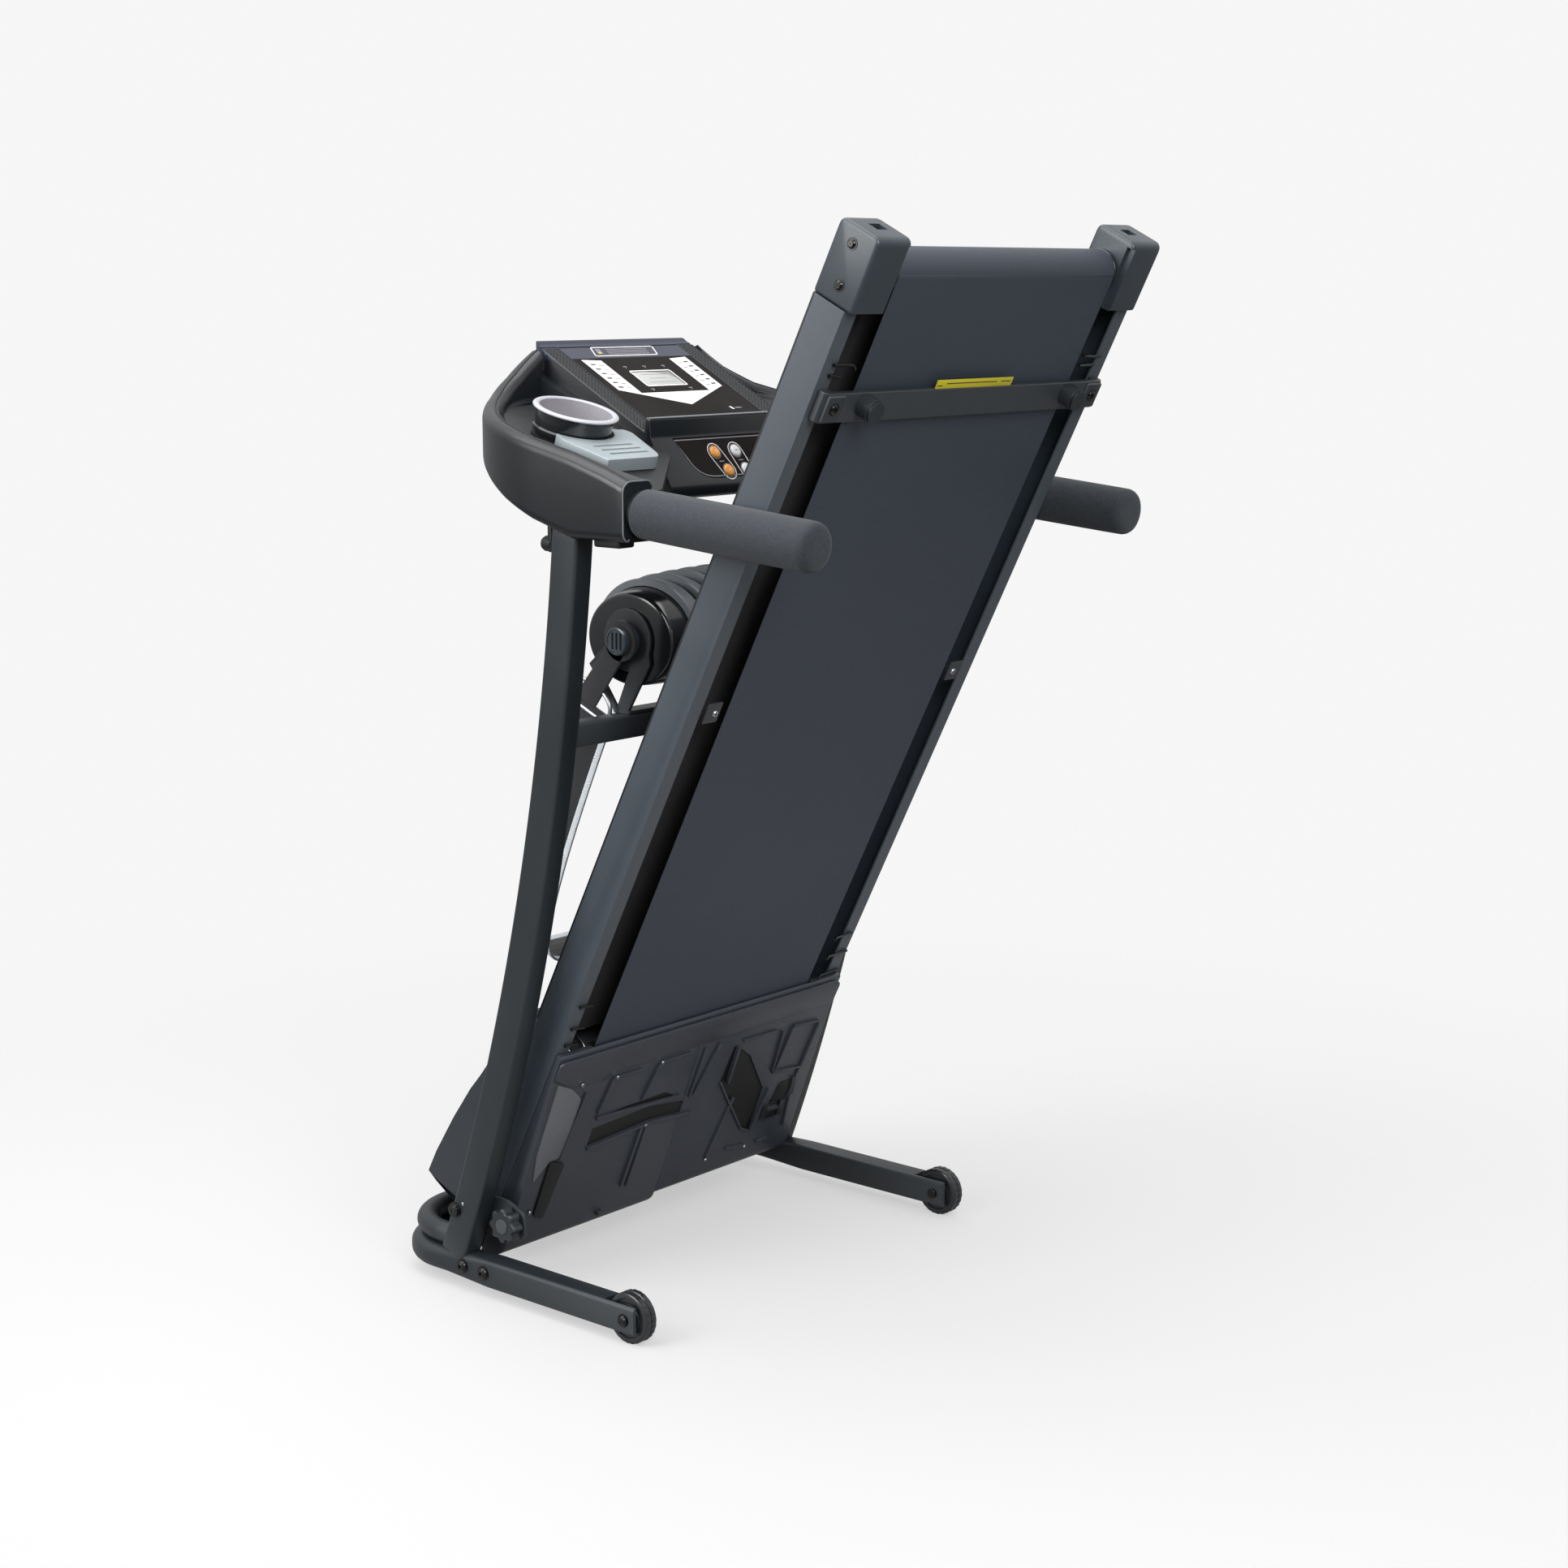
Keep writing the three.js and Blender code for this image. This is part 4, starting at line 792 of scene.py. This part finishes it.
def cup(side, sign):
    wall = [(0, -76), (36, -76), (40, -75.4), (43.4, -73), (45, -70), (45, -2), (43.8, -2),
            (43.8, -69), (38, -74.8), (0, -74.8)]
    lining = [(0, -74.8), (38, -74.8), (43.8, -69), (43.8, -1), (42.5, -1), (42.5, -67), (41, -70.5),
              (37, -73), (0, -73)]
    rim = [(43.4, -3), (49, -3), (50, -2.3), (50, -1), (48.8, 0.2), (47, 0.7), (44.4, 0.6),
           (43, 0), (42.4, -1)]
    ring = [(45, -22), (46.6, -24), (46.6, -30), (45, -32)]
    parts = [(turned(wall, 72, False), GLOSS), (turned(lining, 72, False), CUP_IN),
             (turned(rim, 72), CUP_RIM), (turned(ring, 72), GLOSS)]
    piece(f"{side}_cup_shape", parts, "base", place=sided(on_tray(CUP_X, CUP_Y, CUP_RISE), sign),
          replaces=(f"{side}_cup_holder",))


def hand_pad(side, sign):
    outline = filleted([(290, -8), (206, -8), (197, 2), (167, 74), (172, 88)], [4, 8, 8, 8, 6], 4)
    for k in range(19):
        a = radians(194 + 144 * k / 18)
        outline.append((CUP_X + 48 * cos(a), CUP_Y + 48 * sin(a)))
    outline.append((290, 62))
    body = plate([(x, y - TRAY_Y) for x, y in outline], 0, 15, 5.5, 5)
    low, high = TRAY_Y + 2.2, TRAY_Y - 2.2
    grooves = [plate(filleted(oblong(204, 268, y - low, y - high), 2, 3), 12, 19)
               for y in (10, 23, 36)]
    body = carve(body, *grooves)
    piece(f"{side}_hand_pad_shape", [(body, SILVER)], "base",
          place=sided(on_tray(0, TRAY_Y, 0.3), sign),
          replaces=(f"{side}_hand_pad",))


def grip(side, sign):
    """A foam sleeve, barely crowned, with a domed end."""
    length = (316 - 63.6) / cos(GRIP_SLOPE)
    profile = [(12.9, 4.6), (24.6, 4.6), (26.6, 5.6), (27.5, 7.5)]
    for k in range(25):
        t = k / 24
        profile.append((27.7 + 0.3 * sin(pi * t) ** 0.5, 10 + t * (length - 22)))
    profile += [(27.6, length - 9), (26.6, length - 5.5), (24.8, length - 2.8), (22, length - 1),
                (18, length - 0.2), (9, length), (0, length)]
    mesh = turned(profile + [(0, length - 16), (12.9, length - 16)], 64)
    foam = piece(f"{side}_foam_grip_shape", [(mesh, FOAM)], "base",
                 place=MM @ GRIP_AT, replaces=(f"{side}_foam_grip",))
    if sign < 0:
        for vertex in foam.data.vertices:
            vertex.co.x = -vertex.co.x
        foam.data.flip_normals()


# ---- console -----------------------------------------------------------------------------

KEY_SPOTS = (("speed_up", 36, 24, ORANGE, "orange_key"), ("speed_down", 25, 49, ORANGE, "orange_key"),
             ("start", -1, 24, WHITE, "white_key"), ("stop", -7, 49, WHITE, "white_key"))
SAFETY = (-60, 22)
KEY_RADIUS, SAFETY_RADIUS = 8, 11


def key_holes():
    """The place and radius of every key on the panel."""
    return [(x, y, KEY_RADIUS) for _, x, y, _, _ in KEY_SPOTS] + [(*SAFETY, SAFETY_RADIUS)]


def face_end(y, z, slope, length):
    return y - cos(slope) * length, z - sin(slope) * length


def key_outline(grow=0.0):
    half, low, foot = 100 + grow, 58 + grow, 62
    right = [(half, 3 - grow), (half - 10, 30)]
    for k in range(1, 9):
        t = k / 8
        a, b, c = (1 - t) ** 2, 2 * t * (1 - t), t * t
        right.append((a * (half - 10) + b * (foot + 18) + c * (foot - 12),
                      a * 30 + b * low + c * low))
    return right + [(-x, y) for x, y in reversed(right)]


def knurl():
    """Rows of small pyramids along both edges of the display face."""
    mesh = bmesh.new()
    wide, long = 5.4, 6.0
    for side in (-1, 1):
        for row in range(62):
            for column in range(5 - row % 2):
                x = side * (110.4 + wide * (column + 0.5 * (row % 2)))
                y = 9 + long / 2 * row
                base = [mesh.verts.new(p) for p in ((x - wide / 2, y, 0), (x, y - long / 2, 0),
                                                    (x + wide / 2, y, 0), (x, y + long / 2, 0))]
                tip = mesh.verts.new((x, y, 1.5))
                for k in range(4):
                    mesh.faces.new((base[k], base[(k + 1) % 4], tip))
                mesh.faces.new(base[::-1])
    bmesh.ops.recalc_face_normals(mesh, faces=mesh.faces)
    return mesh


def console():
    """The head with its display and key panels, and the keys."""
    ey, ez = face_end(*FACE_AT, 201)
    ky, kz = face_end(*KEYS_AT, 68)
    side = filleted([(282, 1042), (279, 1120), (274, 1140), (262, 1146), (256, 1140), (ey, ez),
                     (ey - 2, 1058), (ey - 9, 1057), (70, 1036), (ky, kz), (ky + 3, kz - 10),
                     (60, 962), (120, 975), (260, 1036)],
                    [4, 12, 8, 6, 0, 0, 1.5, 2, 2, 4, 4, 12, 12, 12], 4)
    head = prism(side, -136, 136, 2.6, 3)
    to_mm = Matrix.Scale(1000, 4)
    display = moved(block(-106, 106, 6, 194, -2, 12), to_mm @ FACE)
    groove = [moved(block(s * 121 - 13.5, s * 121 + 13.5, 5, 196, -0.6, 12), to_mm @ FACE)
              for s in (-1, 1)]
    panel = moved(plate(key_outline(0.3), -2, 10), to_mm @ KEYS)
    wells = [moved(pin(r + 0.5, -20, 10), to_mm @ KEYS @ at(x, y, 0)) for x, y, r in key_holes()]
    corners = []
    for sign in (-1, 1):
        bend = [(sign * (136 - 44 + 44 * sin(a)), 283 - 44 + 44 * cos(a))
                for a in steps_to(pi / 2, 14)]
        corners.append(plate(bend + [(sign * 150, 239), (sign * 150, 300), (sign * 92, 300)],
                             1030, 1160))
    head = carve(head, display, panel, *groove, *wells, *corners)
    lip = prism(filleted([(ey - 2, 1058), (ey - 9, 1057), (ey - 9.3, 1058.6), (ey - 2, 1059.4)],
                         0.4, 2), -134, 134)
    knurls = moved(knurl(), to_mm @ FACE @ at(0, 0, -0.6))
    piece("console_head_shape", [(head, BLUE), (lip, PAD_GREY), (knurls, BLACK)], "base",
          smooth=30, replaces=("console_head",))
    face_print()
    key_print()
    for name, x, y, material, slot in KEY_SPOTS:
        cap = turned([(0, -9), (8, -9), (8, 0.6), (7.4, 1.5), (5.6, 2.2), (3, 2.5), (0, 2.6)], 40,
                     False)
        mark = [block(-2.6, 2.6, -0.5, 0.5, 2.3, 2.72)]
        if name == "speed_up":
            mark.append(block(-0.5, 0.5, -2.6, 2.6, 2.3, 2.72))
        parts = [(cap, material)]
        parts += [(m, WHITE if material is ORANGE else PRINT_GREY) for m in mark]
        piece(f"{name}_key_shape", parts, f"{name}_body", place=KEYS @ at(x, y, 0),
              replaces=(f"{name}_key",))
    plug = turned([(0, -10), (11, -10), (11, 3.4), (13, 3.6), (13, 6), (12, 7), (0, 7)], 48, False)
    pull = plate(filleted(oblong(-2, 2, -9, 9), 1.5, 3), 6, 16, 0.8)
    piece("safety_key_shape", [(plug, RED), (pull, RED)], "safety_body",
          place=KEYS @ at(*SAFETY, 0), replaces=("safety_key",))


def face_print():
    """The printed display: a blue label over a brown field, a white bracket round the LCD."""
    panel = carve(plate(filleted(oblong(-105.7, 105.7, 34, 193.7), 3, 4), -1.7, 0),
                  block(-34.3, 34.3, 67.7, 100.3, -9, 9))
    blue = block(-105.7, 105.7, 8.3, 33.9, -1.7, 0)
    parts = [(panel, OVERLAY), (blue, PRINT_BLUE)]

    def mark(material, points, z0=0.0, z1=0.14):
        parts.append((plate(points, z0, z1), material))

    label = filleted([(-58, 9), (52, 9), (60, 29), (-50, 29)], 3, 4)
    parts.append((strip(label, 1.7, 0, 0.14), PRINT))
    for k in range(4):
        y = 13.5 + 3.6 * k
        mark(PRINT_GREY, oblong(-42 + k, 30 + k, y, y + 1.5))
    mark(PRINT_GREY, [(40, 13), (48, 13), (51, 24), (42, 24)])
    mark(YELLOW, [(44, 20), (48, 20), (49, 24), (45, 24)], 0.05, 0.2)
    for s in (-1, 1):
        mark(PRINT, [(s * 93, 37), (s * 61, 40), (s * 61, 117), (s * 93, 108)])
        for k in range(6):
            y = 47 + 10.6 * k
            mark(PRINT_DARK, [(s * 87, y), (s * 79, y + 0.4), (s * 79, y + 3.4), (s * 87, y + 3)],
                 0.05, 0.22)
            mark(PRINT_GREY, [(s * 75, y + 3.2), (s * 67, y + 3.6), (s * 67, y + 5.2),
                              (s * 75, y + 4.8)], 0.05, 0.22)
    mark(PRINT, [(-93, 108), (-61, 116.9), (61, 116.9), (93, 108), (0, 147)])
    parts.append((strip(filleted(oblong(-35.5, 35.5, 66.5, 101.5), 2, 3), 2.2, 0, 0.16), PRINT))
    for x, y in ((-34, 55), (0, 55), (34, 55), (-34, 108), (34, 108)):
        mark(PRINT_GREY, oblong(x - 3, x + 3, y, y + 1.6))
        mark(PRINT_GREY, oblong(x - 1, x + 1, y + 2.6, y + 4.4))
    mark(PRINT, [(-58, 156), (-62, 156), (-64, 162), (-60, 162)])
    mark(PRINT_GREY, [(-67, 158), (-78, 158), (-79, 160.4), (-68, 160.4)])
    piece("face_panel_shape", parts, "base", place=FACE, replaces=("face_panel",))
    parts = [(block(-34, 34, 68, 100, -1.7, -0.5, 0.25), GLASS)]
    for k, width in enumerate((46, 30, 46)):
        y = 74 + 9 * k
        parts.append((block(-width / 2, width / 2, y, y + 0.8, -0.52, -0.42), PRINT_GREY))
    piece("lcd_shape", parts, "base", place=FACE, replaces=("lcd_window",))


def key_print():
    holes = [moved(pin(r + 0.3, -9, 9), at(x, y, 0)) for x, y, r in key_holes()]
    parts = [(carve(plate(key_outline(), -1.7, 0), *holes), KEYFACE),
             (strip(key_outline(-2.6), 1.4, 0, 0.16), PRINT_GREY)]
    for _, x, y, _, _ in KEY_SPOTS:
        ring = turned([(8.4, -0.2), (9.3, -0.2), (9.3, 0.25), (8.4, 0.4)], 40)
        parts.append((moved(ring, at(x, y, 0)), PRINT_GREY))
    for (x0, y0), (x1, y1) in (((36, 24), (25, 49)), ((-1, 24), (-7, 49))):
        a, b = Vector((x0, y0)), Vector((x1, y1))
        along = (b - a).normalized()
        off = Vector((-along.y, along.x))
        ring = [tuple(centre + (off * cos(start + t) - along * sin(start + t)) * 11.6)
                for centre, start in ((a, 0), (b, pi)) for t in steps_to(pi, 12)]
        parts.append((strip(ring, 1.2, 0, 0.16), PRINT))
        x, y = (a + b) / 2
        parts.append((block(x - 4, x + 4, y - 0.7, y + 0.7, 0.0, 0.14), PRINT_GREY))
    piece("key_panel_shape", parts, "base", place=KEYS, replaces=("key_panel",))


# ---- massager ----------------------------------------------------------------------------

HALF, HUB_X, MID_Y, MID_Z = 186, 189, 59, 805
RIBS, HOOK_X = 11, 200
ON_AXIS = at(0, MID_Y, MID_Z) @ FACING_X


def oval(x, extra, start, end, count, closed):
    t = abs(x) / HALF
    shrink, rise = 1 - 0.1 * t ** 6, 8 * (1 - t * t)
    ring = []
    for k in range(count):
        a = start + (end - start) * k / (count if closed else count - 1)
        ring.append((x, MID_Y + (76 * shrink + extra) * cos(a),
                     MID_Z + rise + (60 * shrink + extra) * sin(a)))
    return ring


def massager():
    """The oval body, its overlapping ribs and a turning hub at each end."""
    rings = [oval(HALF * (k / 20 - 1), -0.2, 0, 2 * pi, 64, True) for k in range(41)]
    body = soften(loft(rings), 4, 3, 50)
    room = [moved(pin(21, 0, 30), at(s * 172, MID_Y, MID_Z)
                  @ Matrix.Rotation(s * pi / 2, 4, "Y")) for s in (-1, 1)]
    body = carve(body, *room)
    piece("massager_body_shape", [(body, GLOSS)], "base",
          replaces=("massager_housing",))
    start, end, count = radians(12), radians(172), 36
    ribs = []
    for k in range(RIBS):
        rings = []
        for t, h in ((0.08, 1.2), (0.10, 3.6), (0.25, 5.4), (0.5, 7.0), (0.7, 8.4), (0.8, 8.9),
                     (0.86, 8.2), (0.88, 1.4)):
            x = 162 - 324 * (k + t) / RIBS
            rings.append(oval(x, h, start, end, count, False)
                         + oval(x, 0.6, start, end, count, False)[::-1])
        ribs.append((loft(rings), PAD_GREY))
    piece("massager_ribs_shape", ribs, "base", smooth=50,
          replaces=("massager_pad",))
    for side, sign in SIDES:
        hub = turned([(0, -14), (20, -14), (20, 9), (19, 10.5), (17, 11.2), (17, 18.5), (16.2, 20.5),
                      (14.5, 21), (13.8, 19.6), (0, 19.6)], 56, False)
        slots = [plate(filleted(oblong(-10, 10, d - 1.6, d + 1.6), 1.5, 3), 17.4, 25)
                 for d in (-6.5, 0, 6.5)]
        hub = carve(hub, *slots)
        piece(f"{side}_hub_shape", [(hub, HUB)], f"{side}_hub_body",
              place=sided(MM @ at(HUB_X, MID_Y, MID_Z) @ FACING_X, sign),
              replaces=(f"{side}_massager_hub",))
    keep("massager_bracket", STEEL, 0.8)
    strap()


def strap():
    """Webbing that hangs in a loop, a steel hook and an eye at each top end."""
    lean, hang, half_width, narrows, edge = radians(24), 374, 44, 18, 9
    down = Vector((0, sin(lean), -cos(lean)))
    across = Vector((0, cos(lean), sin(lean)))
    top = Vector((0, 114, 728))
    mids, count = [], 90
    for k in range(count + 1):
        u = 2 * k / count - 1
        side = copysign(min(1, abs(u) ** 0.22), u) if u else 0
        mid = top + down * hang * (1 - abs(u) ** 2.2)
        mid.x = HOOK_X * side
        mids.append((mid, half_width - narrows * (1 - abs(u) ** 3)))

    def band(inner, outer, thick):
        rings = []
        for k, (mid, width) in enumerate(mids):
            ahead = (mids[min(k + 1, count)][0] - mids[max(k - 1, 0)][0]).normalized()
            normal = ahead.cross(across).normalized()
            a, b = inner(width), outer(width)
            section = filleted(oblong(a, b, -thick / 2, thick / 2), thick * 0.4, 2)
            rings.append([mid + across * p + normal * q for p, q in section])
        return loft(rings)

    hooks = []
    for s in (-1, 1):
        loop = [top + Vector((s * HOOK_X, 0, 0)) + across * 36 * cos(a)
                - down * (4 + 20 * sin(a)) for a in steps_to(pi, 24)]
        loop = [loop[0] + down * 14] + loop + [loop[-1] + down * 14]
        hooks.append((sweep(loop, circle(2.6, 12)), ZINC))
        hooks.append((sweep([loop[0], loop[-1]], circle(2.6, 12)), ZINC))
        eye = prism(filleted([(66, 814), (48, 794), (102, 722), (132, 736)], [18, 18, 4, 4], 5),
                    0, 3, 0.6)
        ring = moved(turned([(17.4, 0), (24, 0), (24, 3), (17.4, 3)], 48), ON_AXIS)
        eye = carve(eye, moved(pin(17.4, -5, 9), ON_AXIS))
        for mesh in (eye, ring):
            moved(mesh, at(HOOK_X if s > 0 else -HOOK_X - 3, 0, 0))
            hooks.append((mesh, WEB))
    web = piece("massage_belt_shape",
                [(band(lambda w: -w + 4, lambda w: w - 4, 3.0), WEB),
                 (band(lambda w: -w, lambda w: -w + edge, 3.4), WEB_EDGE),
                 (band(lambda w: w - edge, lambda w: w, 3.4), WEB_EDGE)], "base",
                replaces=("massage_belt",))
    fittings = piece("massage_belt_fittings", hooks, "base")


# ---- deck --------------------------------------------------------------------------------


def deck():
    keep_pair("rail", RAIL, 1.0)
    keep_pair("foot_rail", BLACK, 0.5)
    keep("deck_board", WOOD, 1.0)
    keep("running_belt", BELT)
    keep("front_roller", ZINC, 0.8)
    keep("rear_roller", GLOSS, 0.8)
    keep("rear_crossbar", STEEL, 1.2)
    keep_pair("deck_foot", STEEL, 1.2)
    keep("motor_hood", HOOD, 2.6, 3)
    keep("drive_motor", ENAMEL, 1.0)
    keep("motor_pulley", ZINC, 0.8)
    keep("drive_belt", RUBBER)
    keep("power_switch", BLACK, 1.0)
    caps()
    pan()
    lock_knob()
    tail_fittings()


def caps():
    """The hollow caps on the rails' tail ends, slotted for the rear roller."""
    for side, sign in SIDES:
        outline = filleted([(-1222, -31), (-1222, 26.8), (-1307.7, 26.8), (-1307.7, -31)],
                           [0, 0, 10, 10], 6)
        cap = prism(outline, 207, 264, 4.0, 4)
        slot = block(200, 223, -1271, -1249, -8.6, 8.6)
        hole = prism(filleted([(-1330, -7), (-1330, 7), (-1294, 7), (-1294, -7)], 2, 2), 224, 242)
        step = block(205, 212, -1300, -1215, -40, -22)
        cap = carve(cap, slot, hole, step)
        parts = [(cap, CAP)]
        for y, z in ((-1288, 0.5), (-1243, -3)):
            parts += placed(dome_bolt(5.4, 3.2, 0.6), at(264, y, z) @ FACING_X)
        # a dark block at the inner end of the hole: painted shade
        parts.append((block(226, 240, -1296, -1292, -5.5, 5.5), PAN_DARK))
        piece(f"{side}_end_cap_shape", parts, "deck", place=DECK, mirror=sign < 0,
              replaces=(f"{side}_end_cap",))


# the pan's big face: X across, Y towards the tail, Z off it
TILT = atan2(20, 205)
PAN_FACE = (at(0, 0, -54) @ Matrix(((1, 0, 0, 0), (0, -cos(TILT), -sin(TILT), 0),
                                    (0, sin(TILT), -cos(TILT), 0), (0, 0, 0, 1))))


def pan():
    """The two halves of the moulded pan under the deck, its recesses, ribs and screws, with painted
    shade in the recesses and beside the ribs and a painted highlight on one slanted face.
    """
    rim = -22.3

    def skin(f, x0, x1):
        outline = [(-245, rim), (-245, -31), (-207, -32), (-205, -34), (0, -54), (-f - 12, -56),
                   (-f, -50), (18 - f, rim)]
        return prism(filleted(outline, [0, 6, 2, 2, 0, 5, 6, 0], 4), x0, x1, 1.6, 2)

    def room(f, x0, x1):
        return prism([(-241.5, rim + 5), (-241.5, -27), (-204, -29), (0, -48.5), (-f - 14, -50.5),
                      (-f - 3, -46), (12 - f, rim + 5)], x0, x1)

    halves = [carve(skin(-49, -264, 4.2), room(-49, -261, 3.9),
                    block(-206, 10, -240, -247, -27.5, -15)),
              carve(skin(-38, 3.8, 264), room(-38, 4.1, 261), block(-10, 206, -240, -247, -27.5, -15),
                    block(193.2, 216.8, -63, -28, -70, -30))]
    slit = [(-113, 137), (-40, 139), (-12, 125), (-162, 133)]
    channel = [(-165, 118), (-64, 124), (-1, 116), (24, 94), (-55, 100), (-166, 91)]
    facet = [(77, 177), (82, 179), (118, 154), (169, 90), (169, 22), (146, 32), (87, 102), (68, 126)]
    halves[0] = carve(halves[0], *(moved(plate(hole, depth, 9), PAN_FACE)
                                   for hole, depth in ((slit, -1.8), (channel, -2.2))))
    halves[1] = carve(halves[1], moved(plate(facet, -2.2, 9), PAN_FACE))
    parts = [(half, PAN) for half in halves]

    def on_face(mesh, material=PAN):
        parts.append((moved(mesh, PAN_FACE), material))

    # near-black floors in the slit, channel and facet recesses: painted shade
    for floor_of, z in ((slit, -2.4), (channel, -2.8), (facet, -2.8)):
        on_face(plate(floor_of, z, z + 0.8), PAN_DARK)
    band = filleted([(-263, 239), (-263, 213), (-246, 204), (-206, 182), (-167, 187), (-156, 197),
                     (12, 198), (264, 201), (264, 236), (250, 240)],
                     [8, 6, 8, 6, 6, 6, 3, 6, 8, 6], 4)
    parts.append((plate([(x, -y) for x, y in band], -35.6, -31, 1.5, 3), PAN))
    # the pale slanted face: painted highlight, the same plastic as the rest of the pan
    on_face(plate(filleted([(-255, 206), (-228, 194), (-205, 174), (-211, 89), (-230, 89), (-251, 62),
                            (-257, 103)], 5, 3), -1, 2.2, 1.2), PAN_PAINTED_SHEEN)
    on_face(plate(filleted([(-230, 89), (-202, 78), (-214, -1), (-233, 8)], 3, 3), -1, 3.4, 1.4),
            PAN_DARK)
    for a, b, w, h in (((-199, 181), (-214, 87), 3, 2.6), ((-154, 190), (-165, 141), 4, 2.4),
                       ((-154, 191), (-104, 191), 3, 2.0), ((-70, 190), (-85, 140), 4, 2.4),
                       ((-68, 192), (-12, 193), 3, 2.0), ((14, 193), (10, 120), 4, 2.4),
                       ((36, 181), (17, 121), 3, 2.4), ((41, 194), (33, 169), 4, 2.6),
                       ((-165, 134), (-10, 127), 4, 2.4), ((-166, 89), (-55, 98), 4, 2.2),
                       ((-55, 98), (24, 92), 4, 2.2), ((-60, 92), (-64, 3), 5, 2.2),
                       ((-69, 96), (-75, 6), 5, 2.2), ((107, 92), (87, 3), 4, 2.2),
                       ((83, 178), (83, 122), 4, 3.4), ((172, 180), (175, 116), 3, 2.4),
                       ((191, 182), (180, 115), 3, 2.4), ((192, 183), (245, 179), 3, 2.2),
                       ((247, 173), (237, 108), 3, 2.2), ((237, 108), (176, 114), 3, 2.2),
                       ((90, 185), (157, 184), 3, 2.2), ((126, 5), (165, 0), 4, 2.0),
                       ((191, -2), (213, -1), 4, 2.0), ((181, 87), (167, 26), 3, 2.4),
                       ((228, 94), (240, 12), 3, 2.4), ((247, 178), (228, 60), 2.4, 1.8),
                       ((68, 126), (87, 102), 3, 2.4), ((87, 102), (146, 32), 3, 2.4),
                       ((146, 32), (169, 22), 3, 2.0), ((-107, -28), (-98, -28), 6, 3)):
        on_face(rib(a, b, w, h * 1.5))
        # a thin dark strip along the lower side of each rib: painted shadow
        aside = Vector((0.75, -0.65)) * (w / 2 + 1.5)
        on_face(rib(Vector(a) + aside, Vector(b) + aside, 3.6, 0.35, soft=0.1), PAN_DARK)
    socket = plate(filleted(oblong(183, 228, 34, 58), 3, 3), -1, 1.8, 0.8)
    on_face(carve(socket, block(193.2, 216.8, 28, 63, -5, 9)), BLACK)
    inlet = plate(filleted([(196, 60), (242, 60), (238, 90), (202, 90)], 6, 4), -1, 1.0, 0.6)
    on_face(inlet, PAN_DARK)
    for x, y in ((-211, 196), (-241, 16), (-67, 192), (-148, 191), (-63, 96), (88, -1), (166, -2)):
        parts.extend(placed(screw_parts(2.6, 1.6, ZINC), PAN_FACE @ at(x, y, 2.0)))
    piece("belly_pan_shape", parts, "deck", place=DECK, replaces=("belly_pan",))


def lock_knob():
    """An eight-lobed knob on its sprung stem."""
    rings = []
    for x, scale in ((-301.2, 0.86), (-301.4, 0.9), (-300.8, 0.95), (-299.4, 0.99), (-297, 1.0),
                     (-288.5, 1.0), (-286.6, 0.97), (-285.6, 0.9)):
        ring = []
        for k in range(96):
            a = 2 * pi * k / 96
            r = scale * (20 + 2.1 * cos(8 * a))
            ring.append((x, LOCK_Y + r * cos(a), LOCK_Z + r * sin(a)))
        rings.append(ring)
    disc = moved(turned([(0, 0), (9.5, 0), (9, 1.2), (0, 1.6)], 32, False),
                 at(-300.9, LOCK_Y, LOCK_Z) @ Matrix.Rotation(-pi / 2, 4, "Y"))
    stem = moved(turned([(0, 0), (11, 0), (11, 4.5), (5, 4.5), (5, 21.5), (0, 21.5)], 32, False),
                 at(-287.5, LOCK_Y, LOCK_Z) @ FACING_X)
    piece("lock_knob_shape", [(loft(rings), STEEL), (disc, STEEL), (stem, ZINC)], "lock_knob_body",
          replaces=("lock_knob",))


def tail_fittings():
    """The plain yellow strip, the crossbar's bolts and brackets, and short hooked rods."""
    parts = [(block(-71, 70, -1143.5, -1133, -34.4, -33.2, 0.3), YELLOW)]
    for x0, x1, s in ((-71, -60, 1136), (-55, 40, 1138.5), (46, 66, 1138.5)):
        parts.append((block(x0 + 2, x1, -s - 1.2, -s, -34.5, -34.3), PRINT_DARK))
    for s in (-1, 1):
        parts.append((block(s * 240 - 14, s * 240 + 14, -1131, -1100, -37.5, -34, 2.5, 3), STEEL))
        parts += placed(dome_bolt(6, 3, 2.4), at(s * 240, -1116, -37) @ FACING_DOWN)
        parts.append((block(s * 225 - 12, s * 225 + 12, -738, -712, -25.2, -22, 1.0), LIP))
        parts += placed(screw_parts(4.4, 2.4, ZINC), at(s * 222, -725, -25) @ FACING_DOWN)
    paths = [((-252, -1162, -25), (-232, -1162, -25), (-222, -1162, -27), (-220, -1158, -30)),
             ((-252, -1149, -24), (-243, -1149, -25), (-238, -1149, -28)),
             ((202, -1164, -30), (206, -1163, -26), (230, -1161, -25), (246, -1161, -24)),
             ((202, -1150, -29), (208, -1150, -25), (240, -1150, -24))]
    paths += [((-256, y, -24), (-243, y, -25), (-239, y - 3, -29)) for y in (-315, -282, -257)]
    paths += [((216, y, -29), (222, y, -25), (end, y, -24))
              for y, end in ((-281, 262), (-250, 262), (-312, 255))]
    parts += [(rod(path, 1.9), BOLT) for path in paths]
    piece("deck_fittings", parts, "deck", place=DECK)


base()
arms()
console()
massager()
deck()
